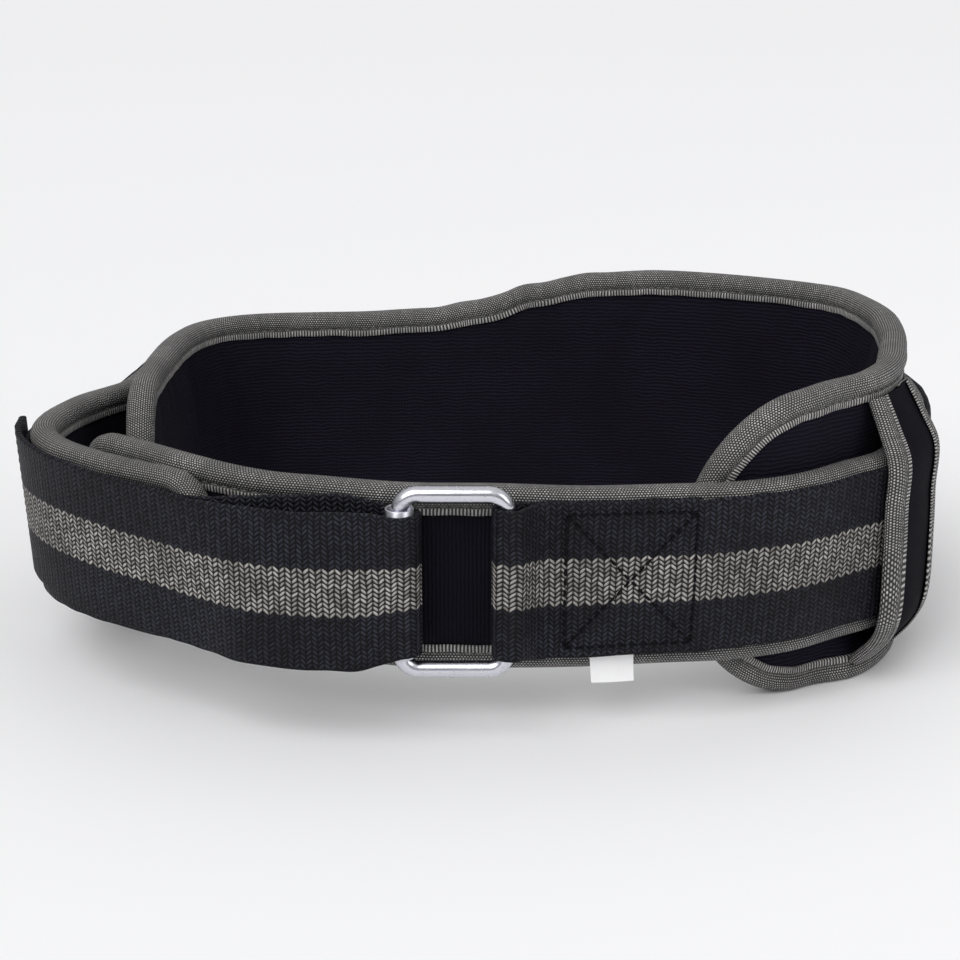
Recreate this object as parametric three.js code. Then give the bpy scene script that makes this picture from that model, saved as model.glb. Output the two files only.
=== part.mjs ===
import * as THREE from 'three';

// Weightlifting belt, closed in a loop and standing on the lower edge of its back pad.
// The wearer's front faces -Y, +Z is up, the floor is z = 0 and the loop's middle is x = 0, y = 0.
// All lengths are in millimetres.

// Sizes of the loop, measured on the middle line of the narrow belt
const loopWidth = 291;
const loopDepth = 196;
const stationCount = 62;

// Narrow belt
const beltHeight = 58.5;
const beltThickness = 8;
const beltCornerRadius = 12;
const beltLift = 47.05;

// Back pad
const padThickness = 8;
const padHeight = 101;
const padNearEnd = 0.38;
const padNearRoundTop = 36;
const padNearRoundBottom = 43;
const padFarRoundTop = 30;
const padFarRoundBottom = 30;

// Edge tape sewn round the belt, the pad and the keeper
const tapeThickness = 1;
const tapeReach = 8.2;

// Webbing
const webbingWidth = 50;
const webbingThickness = 1.8;
const webbingLift = beltLift + beltHeight / 30;
const webbingSqueeze = 0.93;
const rollerSqueeze = 0.88;
const tailSqueeze = 0.975;

// Buckle ring and its roller
const ringWire = 5.2;
const ringWidth = 36.2;
const ringHeight = 59.2;
const ringCorner = 7.9;
const ringLift = beltLift + beltHeight * 0.066;
const ringX = -0.0907 * loopWidth / 2;
const ringY = -1.104 * loopDepth / 2;
const rollerRadius = 4.25;
const rollerBore = 3.55;
const rollerLength = 46.2;

// Keeper
const keeperThickness = 1.5;
const keeperReach = 0.1355;
const keeperSpan = 25.4;
const keeperTapeReach = 5.6;
const keeperBulgeTop = 0.4;

// Size tag
const tagWidth = 13.4;
const tagHeight = 9;
const tagThickness = 0.8;
const tagReach = 0.2;

// Clearance kept between neighbouring pieces
const seatGap = 0.3;

// Middle line of the narrow belt from its tucked right end, round the loop, to its left front end.
// x and y are shares of half the loop's width and depth, lift is a share of the belt's height,
// lean is how far the wall tips outward per unit of height.
const loopRows = [
  { x: -0.868, y: -0.500, lift: 0.086, lean: 0.12 },
  { x: -0.801, y: -0.582, lift: 0.086, lean: 0.12 },
  { x: -0.718, y: -0.668, lift: 0.080, lean: 0.12 },
  { x: -0.629, y: -0.770, lift: 0.075, lean: 0.12 },
  { x: -0.533, y: -0.852, lift: 0.060, lean: 0.12 },
  { x: -0.450, y: -0.898, lift: 0.047, lean: 0.11 },
  { x: -0.361, y: -0.923, lift: 0.036, lean: 0.08 },
  { x: -0.189, y: -0.972, lift: 0.021, lean: 0.04 },
  { x: -0.010, y: -0.978, lift: 0.019, lean: 0.04 },
  { x: 0.168, y: -0.962, lift: 0.004, lean: 0.08 },
  { x: 0.340, y: -0.932, lift: 0.000, lean: 0.10 },
  { x: 0.485, y: -0.908, lift: 0.000, lean: 0.10 },
  { x: 0.615, y: -0.838, lift: 0.000, lean: 0.08 },
  { x: 0.732, y: -0.716, lift: 0.002, lean: 0.05 },
  { x: 0.809, y: -0.634, lift: 0.003, lean: 0.03 },
  { x: 0.867, y: -0.515, lift: 0.005, lean: 0.01 },
  { x: 0.911, y: -0.367, lift: 0.005, lean: 0.00 },
  { x: 0.946, y: -0.184, lift: 0.005, lean: 0.00 },
  { x: 0.980, y: 0.061, lift: 0.002, lean: 0.00 },
  { x: 0.990, y: 0.300, lift: 0.000, lean: 0.00 },
  { x: 0.963, y: 0.515, lift: 0.000, lean: 0.00 },
  { x: 0.917, y: 0.684, lift: 0.000, lean: 0.00 },
  { x: 0.827, y: 0.791, lift: 0.000, lean: 0.00 },
  { x: 0.615, y: 0.923, lift: 0.000, lean: 0.00 },
  { x: 0.375, y: 1.000, lift: 0.000, lean: 0.00 },
  { x: 0.100, y: 1.012, lift: 0.000, lean: 0.00 },
  { x: -0.175, y: 0.995, lift: 0.000, lean: 0.00 },
  { x: -0.450, y: 0.969, lift: 0.000, lean: 0.00 },
  { x: -0.629, y: 0.939, lift: 0.000, lean: 0.00 },
  { x: -0.732, y: 0.872, lift: 0.000, lean: 0.00 },
  { x: -0.808, y: 0.755, lift: 0.000, lean: 0.00 },
  { x: -0.850, y: 0.571, lift: 0.000, lean: 0.00 },
  { x: -0.868, y: 0.370, lift: 0.000, lean: 0.00 },
  { x: -0.886, y: 0.225, lift: 0.002, lean: 0.01 },
  { x: -0.921, y: 0.107, lift: 0.012, lean: 0.02 },
  { x: -0.957, y: 0.010, lift: 0.020, lean: 0.02 },
  { x: -0.982, y: -0.122, lift: 0.030, lean: 0.03 },
  { x: -0.999, y: -0.265, lift: 0.036, lean: 0.04 },
  { x: -0.990, y: -0.408, lift: 0.040, lean: 0.05 },
  { x: -0.940, y: -0.546, lift: 0.043, lean: 0.06 },
  { x: -0.854, y: -0.673, lift: 0.045, lean: 0.07 },
  { x: -0.766, y: -0.765, lift: 0.045, lean: 0.08 },
  { x: -0.670, y: -0.852, lift: 0.045, lean: 0.09 },
  { x: -0.588, y: -0.929, lift: 0.045, lean: 0.09 },
];

// Plan of the pad's left wing, where it leaves the narrow belt, in shares of the half loop.
const wingRows = [
  { x: -0.812, y: 0.270, lean: 0 },
  { x: -0.815, y: 0.120, lean: 0 },
  { x: -0.815, y: -0.020, lean: 0 },
  { x: -0.812, y: -0.130, lean: 0 },
  { x: -0.808, y: -0.240, lean: 0 },
  { x: -0.804, y: -0.350, lean: 0 },
];

// Upper edge of the pad along its length: reach is a share of the pad's length from its near right end,
// top and foot are shares of the pad's height, flareTop and flareFoot lean the edges outward.
const padRows = [
  { reach: 0.00, top: 0.990, foot: 0, flareTop: 0.000, flareFoot: 0.000 },
  { reach: 0.08, top: 0.995, foot: 0, flareTop: 0.000, flareFoot: 0.020 },
  { reach: 0.12, top: 1.000, foot: 0, flareTop: 0.010, flareFoot: 0.050 },
  { reach: 0.155, top: 1.000, foot: 0, flareTop: 0.020, flareFoot: 0.050 },
  { reach: 0.20, top: 1.000, foot: 0, flareTop: 0.010, flareFoot: 0.040 },
  { reach: 0.26, top: 1.000, foot: 0, flareTop: 0.000, flareFoot: 0.010 },
  { reach: 0.34, top: 1.000, foot: 0, flareTop: 0.000, flareFoot: 0.000 },
  { reach: 0.475, top: 1.010, foot: 0, flareTop: 0.000, flareFoot: 0.000 },
  { reach: 0.525, top: 0.995, foot: 0, flareTop: 0.000, flareFoot: 0.000 },
  { reach: 0.565, top: 0.955, foot: 0, flareTop: 0.000, flareFoot: 0.000 },
  { reach: 0.603, top: 0.895, foot: 0, flareTop: 0.000, flareFoot: 0.000 },
  { reach: 0.64, top: 0.862, foot: 0, flareTop: 0.000, flareFoot: 0.000 },
  { reach: 0.69, top: 0.852, foot: 0, flareTop: 0.000, flareFoot: 0.000 },
  { reach: 1.00, top: 0.850, foot: 0, flareTop: 0.000, flareFoot: 0.000 },
];

// Webbing between the belt's left end and the roller, and the tail's start on its way back.
const innerRunRows = [
  { x: -0.515, y: -1.010, lift: 0.012 },
  { x: -0.430, y: -1.032, lift: 0.032 },
  { x: -0.310, y: -1.038, lift: 0.036 },
];
const tailRunRows = [
  { x: -0.280, y: -1.150, lift: 0.012 },
  { x: -0.354, y: -1.148, lift: 0.012 },
  { x: -0.440, y: -1.128, lift: 0.012 },
  { x: -0.525, y: -1.082, lift: 0.012 },
];

// Rise of the tail toward its free end, by its distance from the belt's left end in shares of its length.
// slant tips its cross lines along its own length.
const tailRiseRows = [
  { reach: 0.00, rise: 0.012, slant: 0.00 },
  { reach: 0.25, rise: 0.038, slant: 0.03 },
  { reach: 0.50, rise: 0.065, slant: 0.06 },
  { reach: 0.80, rise: 0.090, slant: 0.12 },
  { reach: 1.00, rise: 0.106, slant: 0.18 },
];
const tailLength = 92;

// Colours and finishes
const finishes = {
  foam: { color: 0x14131c, roughness: 0.9, metalness: 0 },
  cloth: { color: 0x0f0e17, roughness: 0.85, metalness: 0 },
  tape: { color: 0x62605e, roughness: 0.7, metalness: 0 },
  webbing: { color: 0x1d1d22, roughness: 0.6, metalness: 0 },
  panel: { color: 0x262429, roughness: 0.8, metalness: 0 },
  steel: { color: 0xc9c9d4, roughness: 0.28, metalness: 1 },
  tag: { color: 0xf4f4f4, roughness: 0.8, metalness: 0 },
};

function interpolate(rows, key, at, value) {
  if (at <= rows[0][key]) return rows[0][value];
  for (let i = 1; i < rows.length; i += 1) {
    if (at <= rows[i][key]) {
      const part = (at - rows[i - 1][key]) / (rows[i][key] - rows[i - 1][key]);
      const soft = part * part * (3 - 2 * part);
      return rows[i - 1][value] + (rows[i][value] - rows[i - 1][value]) * soft;
    }
  }
  return rows[rows.length - 1][value];
}

function planPoint(row) {
  return { x: row.x * loopWidth / 2, y: row.y * loopDepth / 2 };
}

// Normals of an open plan line, pointing to the right-hand side of its direction
function withNormals(points) {
  const last = points.length - 1;
  let run = 0;
  return points.map((point, i) => {
    const before = points[Math.max(0, i - 1)];
    const after = points[Math.min(last, i + 1)];
    if (i > 0) run += Math.hypot(point.x - points[i - 1].x, point.y - points[i - 1].y);
    const inX = i > 0 ? point.x - before.x : after.x - point.x;
    const inY = i > 0 ? point.y - before.y : after.y - point.y;
    const outX = i < last ? after.x - point.x : inX;
    const outY = i < last ? after.y - point.y : inY;
    const inLength = Math.hypot(inX, inY);
    const outLength = Math.hypot(outX, outY);
    const sumX = inY / inLength + outY / outLength;
    const sumY = -inX / inLength - outX / outLength;
    const sumLength = Math.hypot(sumX, sumY);
    const half = sumLength / 2;
    return { ...point, nx: sumX / sumLength / half, ny: sumY / sumLength / half, s: run };
  });
}

// A point beside a plan line: run along it, offset to its right-hand side
function beside(path, run, offset) {
  let i = 0;
  while (i < path.length - 2 && path[i + 1].s < run) i += 1;
  const a = path[i];
  const b = path[i + 1];
  const part = (run - a.s) / (b.s - a.s);
  const mix = (key) => a[key] + (b[key] - a[key]) * part;
  return { x: mix('x') + mix('nx') * offset, y: mix('y') + mix('ny') * offset };
}

function valueAt(path, run, key) {
  let i = 0;
  while (i < path.length - 2 && path[i + 1].s < run) i += 1;
  const part = Math.min(1, Math.max(0, (run - path[i].s) / (path[i + 1].s - path[i].s)));
  return path[i][key] + (path[i + 1][key] - path[i][key]) * part;
}

function makeMesh(name, positions, triangles, finish) {
  const geometry = new THREE.BufferGeometry();
  geometry.setAttribute('position', new THREE.Float32BufferAttribute(positions.flat(), 3));
  geometry.setIndex(triangles.flat());
  geometry.computeVertexNormals();
  const mesh = new THREE.Mesh(geometry, new THREE.MeshStandardMaterial({ ...finish, name }));
  mesh.name = name;
  return mesh;
}

// Skin over a row of sections with equal point counts, capped at both ends or closed on itself.
// Each quad's diagonal climbs in the sense of growing run, so nested walls are cut alike.
function loft(name, sections, finish, closed, runs) {
  const count = sections[0].length;
  const positions = sections.flat();
  const triangles = [];
  const rings = closed ? sections.length : sections.length - 1;
  for (let i = 0; i < rings; i += 1) {
    const here = i * count;
    const next = ((i + 1) % sections.length) * count;
    for (let j = 0; j < count; j += 1) {
      const k = (j + 1) % count;
      const climbs = positions[here + k][2] >= positions[here + j][2];
      const forward = !runs || runs[i + 1] >= runs[i];
      if (climbs === forward) triangles.push([here + j, next + j, next + k], [here + j, next + k, here + k]);
      else triangles.push([here + j, next + j, here + k], [next + j, next + k, here + k]);
    }
  }
  if (!closed) {
    const first = clipEars(flatten(sections[0]));
    const end = (sections.length - 1) * count;
    const final = clipEars(flatten(sections[sections.length - 1]));
    first.forEach(([a, b, c]) => triangles.push([a, b, c]));
    final.forEach(([a, b, c]) => triangles.push([end + c, end + b, end + a]));
  }
  return orient(name, positions, triangles, finish);
}

// Triangles of a flat polygon that keep every one of its points, best shaped ear first
function clipEars(points) {
  const left = points.map((unused, i) => i);
  const cross = (a, b, c) => (b.x - a.x) * (c.y - a.y) - (b.y - a.y) * (c.x - a.x);
  const triangles = [];
  while (left.length > 3) {
    let best = -1;
    let bestShape = 0;
    for (let i = 0; i < left.length; i += 1) {
      const ids = [left[(i + left.length - 1) % left.length], left[i], left[(i + 1) % left.length]];
      const [a, b, c] = ids.map((id) => points[id]);
      const area = cross(a, b, c);
      if (area <= 1e-6) continue;
      const blocked = left.some((id) => {
        if (ids.includes(id)) return false;
        const p = points[id];
        return cross(a, b, p) > -1e-7 && cross(b, c, p) > -1e-7 && cross(c, a, p) > -1e-7;
      });
      if (blocked) continue;
      const longest = Math.max(a.distanceTo(b), b.distanceTo(c), c.distanceTo(a));
      const shape = area / longest ** 2;
      if (shape > bestShape) {
        bestShape = shape;
        best = i;
      }
    }
    const at = best < 0 ? 0 : best;
    const count = left.length;
    triangles.push([left[(at + count - 1) % count], left[at], left[(at + 1) % count]]);
    left.splice(at, 1);
  }
  triangles.push(left);
  return triangles;
}

// Section points laid flat on their own plane, in their own winding
function flatten(section) {
  const a = new THREE.Vector3(...section[0]);
  const normal = new THREE.Vector3();
  section.forEach((point, i) => {
    const p = new THREE.Vector3(...point).sub(a);
    const q = new THREE.Vector3(...section[(i + 1) % section.length]).sub(a);
    normal.add(p.cross(q));
  });
  normal.normalize();
  const helper = Math.abs(normal.z) < 0.9 ? new THREE.Vector3(0, 0, 1) : new THREE.Vector3(1, 0, 0);
  const u = helper.cross(normal).normalize();
  const v = normal.clone().cross(u);
  return section.map((point) => {
    const p = new THREE.Vector3(...point).sub(a);
    return new THREE.Vector2(p.dot(u), p.dot(v));
  });
}

// Faces turned outward by the sign of the enclosed volume
function orient(name, positions, triangles, finish) {
  let volume = 0;
  triangles.forEach(([a, b, c]) => {
    const [p, q, r] = [positions[a], positions[b], positions[c]];
    volume += p[0] * (q[1] * r[2] - q[2] * r[1]);
    volume -= p[1] * (q[0] * r[2] - q[2] * r[0]);
    volume += p[2] * (q[0] * r[1] - q[1] * r[0]);
  });
  const turned = volume > 0 ? triangles : triangles.map(([a, b, c]) => [a, c, b]);
  return makeMesh(name, positions, turned, finish);
}

// Stations of the narrow belt's middle line
function beltPath() {
  const rows = loopRows.map((row) => new THREE.Vector3(planPoint(row).x, planPoint(row).y, row.lift * beltHeight));
  const curve = new THREE.CatmullRomCurve3(rows, false, 'centripetal');
  curve.arcLengthDivisions = 2000;
  const leans = loopRows.map((row, i) => new THREE.Vector3(i, row.lean, 0));
  const leanCurve = new THREE.CatmullRomCurve3(leans, false, 'centripetal');
  return withNormals(Array.from({ length: stationCount + 1 }, (unused, i) => {
    const u = curve.getUtoTmapping(i / stationCount);
    const p = curve.getPoint(u);
    return { x: p.x, y: p.y, lift: p.z, lean: leanCurve.getPoint(u).y };
  }));
}

const belt = beltPath();
const beltLength = belt[belt.length - 1].s;
const beltOutside = beltThickness / 2;
const padInset = beltThickness / 2 + seatGap + padThickness / 2;

// Plan line of the pad: beside the belt from its near right end to the left, then the free wing
const padStart = belt.findIndex((p) => p.y < 0 && p.x > padNearEnd * loopWidth / 2);
const padLeave = belt.findIndex((p) => p.x < -0.8 * loopWidth / 2 && p.y > 0 && p.y < 0.4 * loopDepth / 2);
const padStartPart = (padNearEnd * loopWidth / 2 - belt[padStart - 1].x) / (belt[padStart].x - belt[padStart - 1].x);
const padFirst = Object.fromEntries(['x', 'y', 'nx', 'ny', 'lean'].map((key) => {
  return [key, belt[padStart - 1][key] + (belt[padStart][key] - belt[padStart - 1][key]) * padStartPart];
}));
const padPath = withNormals([
  ...[padFirst, ...belt.slice(padStart, padLeave)].map((p) => {
    return { x: p.x - p.nx * padInset, y: p.y - p.ny * padInset, lean: p.lean };
  }),
  ...wingRows.map((row) => ({ ...planPoint(row), lean: row.lean })),
]);
const padLength = padPath[padPath.length - 1].s;

function padShare(run, value) {
  return interpolate(padRows, 'reach', run / padLength, value) * padHeight;
}

// Closed outlines of the belt and the pad in run and height
function arc(cx, cz, rx, rz, from, to, steps) {
  return Array.from({ length: steps + 1 }, (unused, i) => {
    const angle = THREE.MathUtils.degToRad(from + (to - from) * i / steps);
    return { s: cx + rx * Math.cos(angle), z: cz + rz * Math.sin(angle) };
  });
}

function beltOutline() {
  const r = beltCornerRadius;
  const top = beltHeight / 2;
  const inner = belt.map((p) => p.s).filter((s) => s > r + 2 && s < beltLength - r - 2);
  return [
    ...arc(r, top - r, r, r, 180, 90, 4),
    ...inner.map((s) => ({ s, z: top })),
    ...arc(beltLength - r, top - r, r, r, 90, 0, 4),
    ...arc(beltLength - r, r - top, r, r, 0, -90, 4),
    ...inner.slice().reverse().map((s) => ({ s, z: -top })),
    ...arc(r, r - top, r, r, 270, 180, 4),
  ];
}

function padOutline() {
  const middle = padHeight / 2;
  const end = padLength;
  const tops = padPath.map((p) => p.s).filter((s) => s > padNearRoundTop + 3 && s < end - padFarRoundTop - 3);
  const feet = padPath.map((p) => p.s).filter((s) => s > padNearRoundBottom + 3 && s < end - padFarRoundBottom - 3);
  const nearTop = padShare(0, 'top') - middle;
  const farTop = padShare(end, 'top') - middle;
  return [
    ...arc(padNearRoundTop, middle, padNearRoundTop, nearTop, 180, 90, 8),
    ...tops.map((s) => ({ s, z: padShare(s, 'top') })),
    ...arc(end - padFarRoundTop, middle, padFarRoundTop, farTop, 90, 0, 7),
    ...arc(end - padFarRoundBottom, middle, padFarRoundBottom, middle, 0, -90, 7).slice(1),
    ...feet.slice().reverse().map((s) => ({ s, z: padShare(s, 'foot') })),
    ...arc(padNearRoundBottom, middle, padNearRoundBottom, middle, 270, 180, 8).slice(0, -1),
  ];
}

// Inward normals of a clockwise outline
function outlineNormals(outline) {
  const count = outline.length;
  return outline.map((point, i) => {
    const before = outline[(i + count - 1) % count];
    const after = outline[(i + 1) % count];
    const ds = after.s - before.s;
    const dz = after.z - before.z;
    const size = Math.hypot(ds, dz);
    return { ...point, ns: dz / size, nz: -ds / size };
  });
}

function inset(outline, depth) {
  return outline.map((p) => ({ s: p.s + p.ns * depth, z: p.z + p.nz * depth }));
}

// Height of an inset outline above or below its middle at one run
function heightAt(line, run, upper, middle) {
  let best = middle;
  for (let i = 0; i < line.length; i += 1) {
    const a = line[i];
    const b = line[(i + 1) % line.length];
    const low = Math.min(a.s, b.s);
    const high = Math.max(a.s, b.s);
    if (run < low || run > high || high - low < 1e-9) continue;
    const z = a.z + (b.z - a.z) * (run - a.s) / (b.s - a.s);
    if (upper && z > best) best = z;
    if (!upper && z < best) best = z;
  }
  return best;
}

// Foam core with a stepped-in rim that the edge tape wraps
function core(name, outline, stations, half, middle, creases, place, finish) {
  const rimDepth = tapeThickness + seatGap + 0.1;
  const stepDepth = tapeReach + seatGap + 0.1;
  const shoulderDepth = half + seatGap;
  const rimHalf = half - tapeThickness - seatGap - 0.08;
  const edge = inset(outline, rimDepth);
  const shoulder = inset(outline, shoulderDepth);
  const step = inset(outline, stepDepth);
  const first = Math.min(...step.map((p) => p.s));
  const last = Math.max(...step.map((p) => p.s));
  const start = Math.min(...shoulder.map((p) => p.s)) + 0.1;
  const end = Math.max(...shoulder.map((p) => p.s)) - 0.1;
  const small = 0.05;
  const runs = [
    { s: start, full: false },
    { s: (start + first) / 2, full: false },
    { s: first, full: false },
    { s: first + small, full: true },
    ...stations.filter((s) => s > first + 1.5 && s < last - 1.5).map((s) => ({ s, full: true })),
    { s: last - small, full: true },
    { s: last, full: false },
    { s: (last + end) / 2, full: false },
    { s: end, full: false },
  ];
  const sections = runs.map(({ s, full }) => {
    const reach = (line, upper, least) => {
      const z = heightAt(line, s, upper, middle);
      return upper ? Math.max(z, middle + least) : Math.min(z, middle - least);
    };
    const at = (t, z) => place(s, z, t);
    const face = full ? half : rimHalf + small;
    const zs = { up: reach(step, true, 2), down: reach(step, false, 2) };
    const zh = { up: reach(shoulder, true, 3), down: reach(shoulder, false, 3) };
    const ze = { up: Math.max(reach(edge, true, 4), zh.up + 1), down: Math.min(reach(edge, false, 4), zh.down - 1) };
    const inner = creases.map((z, i) => {
      const low = zs.down + (i + 1) * 0.2;
      const high = zs.up - (creases.length - i) * 0.2;
      return Math.min(high, Math.max(low, z));
    });
    return [
      at(face, zs.down), ...inner.map((z) => at(face, z)), at(face, zs.up), at(rimHalf, zs.up),
      at(rimHalf, zh.up), at(0, ze.up), at(-rimHalf, zh.up), at(-rimHalf, zs.up),
      at(-face, zs.up), ...inner.slice().reverse().map((z) => at(-face, z)), at(-face, zs.down),
      at(-rimHalf, zs.down), at(-rimHalf, zh.down), at(0, ze.down), at(rimHalf, zh.down), at(rimHalf, zs.down),
    ];
  });
  return loft(name, sections, finish, false);
}

// Edge tape folded over the rim of a panel, swept once round its outline
function edgeTape(name, outline, half, place, finish) {
  const inner = half - tapeThickness;
  const round = half * 0.8;
  const profile = [
    [half, tapeReach], [half, round], [half * 0.5, 0], [-half * 0.5, 0],
    [-half, round], [-half, tapeReach], [-inner, tapeReach], [-inner, round + 0.4],
    [0, tapeThickness + 0.1], [inner, round + 0.4], [inner, tapeReach],
  ];
  const sections = outline.map((p) => profile.map(([t, depth]) => {
    return place(p.s + p.ns * depth, p.z + p.nz * depth, t);
  }));
  return loft(name, sections, finish, true);
}

function placeOnBelt(s, z, t) {
  const p = beside(belt, s, t + z * valueAt(belt, s, 'lean'));
  return [p.x, p.y, beltLift + valueAt(belt, s, 'lift') + z];
}

// Heights of the pad's two creases, at the belt's upper and lower edges
const padCreases = [beltLift - beltHeight / 2, beltLift + beltHeight / 2];

// Offset of the pad's middle at one height: it leans with the belt and flares above and below it
function padOffset(s, z) {
  const [beltFoot, beltTop] = padCreases;
  const high = Math.max(0, (z - beltTop) / (padHeight - beltTop));
  const low = Math.max(0, (beltFoot - z) / beltFoot);
  const flare = padShare(s, 'flareTop') * high + padShare(s, 'flareFoot') * low;
  return valueAt(padPath, s, 'lean') * (z - beltLift) + flare;
}

function placeOnPad(s, z, t) {
  const p = beside(padPath, s, t + padOffset(s, z));
  return [p.x, p.y, z];
}

// Plan line of the webbing with its lift and squeeze
function halfTurn(centerX, centerY, radius, steps, backFirst) {
  return Array.from({ length: steps + 1 }, (unused, i) => {
    const angle = Math.PI * i / steps;
    return backFirst
      ? { x: centerX - radius * Math.sin(angle), y: centerY + radius * Math.cos(angle) }
      : { x: centerX + radius * Math.sin(angle), y: centerY + radius * Math.cos(angle) };
  });
}

function webbingPath() {
  const single = beltOutside + seatGap + webbingThickness / 2;
  const double = single + webbingThickness + seatGap;
  const turnLift = ringLift - webbingLift;
  const barX = ringX + (ringWidth - ringWire) / 2;
  const rollerX = ringX - (ringWidth - ringWire) / 2;
  const barRadius = ringWire / 2 + seatGap + 0.4 + webbingThickness / 2;
  const turnRadius = rollerRadius + seatGap + webbingThickness / 2;
  const front = belt.filter((p) => p.y < -0.7 * loopDepth / 2 && p.x > 0.06 * loopWidth / 2);
  const lapped = front.filter((p) => p.x < 0.41 * loopWidth / 2);
  const rest = belt.filter((p) => p.s > lapped[lapped.length - 1].s + 1);
  const out = (p, offset, lift) => ({
    x: p.x + p.nx * offset,
    y: p.y + p.ny * offset,
    outX: p.nx * p.lean,
    outY: p.ny * p.lean,
    pivot: beltLift + p.lift,
    lift,
    squeeze: 1,
    slant: 0,
    run: p.s,
  });
  const free = (p, lift, squeeze) => ({ ...p, outX: 0, outY: 0, pivot: 0, lift, squeeze, slant: 0, run: 0 });
  const lap = lapped.slice().reverse().map((p) => out(p, single, 0));
  const besideBar = barX + ringWire / 2 + seatGap;
  const barTurn = [
    { x: besideBar, y: ringY + barRadius },
    ...halfTurn(barX, ringY, barRadius, 6, true),
    { x: besideBar, y: ringY - barRadius },
  ].map((p) => free(p, turnLift, webbingSqueeze));
  const outer = lapped.map((p) => out(p, double, 0));
  const around = rest.map((p) => out(p, single, 0));
  const toRoller = innerRunRows.map((row) => free(planPoint(row), row.lift * webbingWidth, 1));
  const rollerTurn = halfTurn(rollerX, ringY, turnRadius, 6, false).map((p) => free(p, turnLift, rollerSqueeze));
  const tailStart = tailRunRows.map((row) => free(planPoint(row), row.lift * webbingWidth, tailSqueeze));
  const tailOffset = double + seatGap;
  const tail = belt.slice().reverse().filter((p) => beltLength - p.s < tailLength).map((p) => {
    const reach = (beltLength - p.s) / tailLength;
    const rise = interpolate(tailRiseRows, 'reach', reach, 'rise') * webbingWidth;
    return { ...out(p, tailOffset, rise), squeeze: tailSqueeze, slant: interpolate(tailRiseRows, 'reach', reach, 'slant') };
  });
  return withNormals([...lap, ...barTurn, ...outer, ...around, ...toRoller, ...rollerTurn, ...tailStart, ...tail]);
}

function buildWebbing() {
  const path = webbingPath();
  const half = webbingThickness / 2;
  const sections = path.map((p) => {
    const middle = webbingLift + p.lift;
    const at = (t, side) => {
      const z = side * webbingWidth / 2 * p.squeeze;
      const lean = middle + z - p.pivot;
      const back = -p.slant * z;
      return [p.x + p.nx * t + p.outX * lean - p.ny * back, p.y + p.ny * t + p.outY * lean + p.nx * back, middle + z];
    };
    return [at(half, -1), at(half, 1), at(-half, 1), at(-half, -1)];
  });
  return loft('webbing', sections, finishes.webbing, false, path.map((p) => p.run));
}

function buildRing() {
  const r = ringCorner - ringWire / 2;
  const w = (ringWidth - ringWire) / 2;
  const h = (ringHeight - ringWire) / 2;
  const corners = [
    ...arc(w - r, h - r, r, r, 0, 90, 5), ...arc(r - w, h - r, r, r, 90, 180, 5),
    ...arc(r - w, r - h, r, r, 180, 270, 5), ...arc(w - r, r - h, r, r, 270, 360, 5),
  ];
  const line = outlineNormals(corners);
  const sides = 10;
  const sections = line.map((p) => Array.from({ length: sides }, (unused, i) => {
    const angle = 2 * Math.PI * i / sides;
    const out = Math.cos(angle) * ringWire / 2;
    const side = Math.sin(angle) * ringWire / 2;
    return [ringX + p.s + p.ns * out, ringY + side, ringLift + p.z + p.nz * out];
  }));
  return loft('buckle_ring', sections, finishes.steel, true);
}

function buildRoller() {
  const half = rollerLength / 2;
  const profile = [
    new THREE.Vector2(rollerBore, -half), new THREE.Vector2(rollerRadius, -half),
    new THREE.Vector2(rollerRadius, half), new THREE.Vector2(rollerBore, half),
  ];
  const sides = 24;
  const sections = Array.from({ length: sides }, (unused, i) => {
    const angle = 2 * Math.PI * i / sides;
    return profile.map((p) => [p.x * Math.cos(angle), p.x * Math.sin(angle), p.y]);
  });
  const roller = loft('buckle_roller', sections, finishes.steel, true);
  roller.position.set(ringX - (ringWidth - ringWire) / 2, ringY, ringLift);
  return roller;
}

// Keeper strip sewn below the pad's upper tape and above its lower tape, bowed out over the belt.
// Its plan line is straight under the tape of each upright edge.
const keeperRun = keeperReach * padLength;
const keeperHalf = keeperSpan / 2;
const keeperPath = withNormals([
  keeperRun - keeperHalf,
  keeperRun - keeperHalf + keeperTapeReach + seatGap,
  ...padPath.map((p) => p.s).filter((s) => Math.abs(s - keeperRun) < keeperHalf - keeperTapeReach - 2),
  keeperRun + keeperHalf - keeperTapeReach - seatGap,
  keeperRun + keeperHalf,
].map((run) => ({ ...beside(padPath, run, 0), run })));

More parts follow.
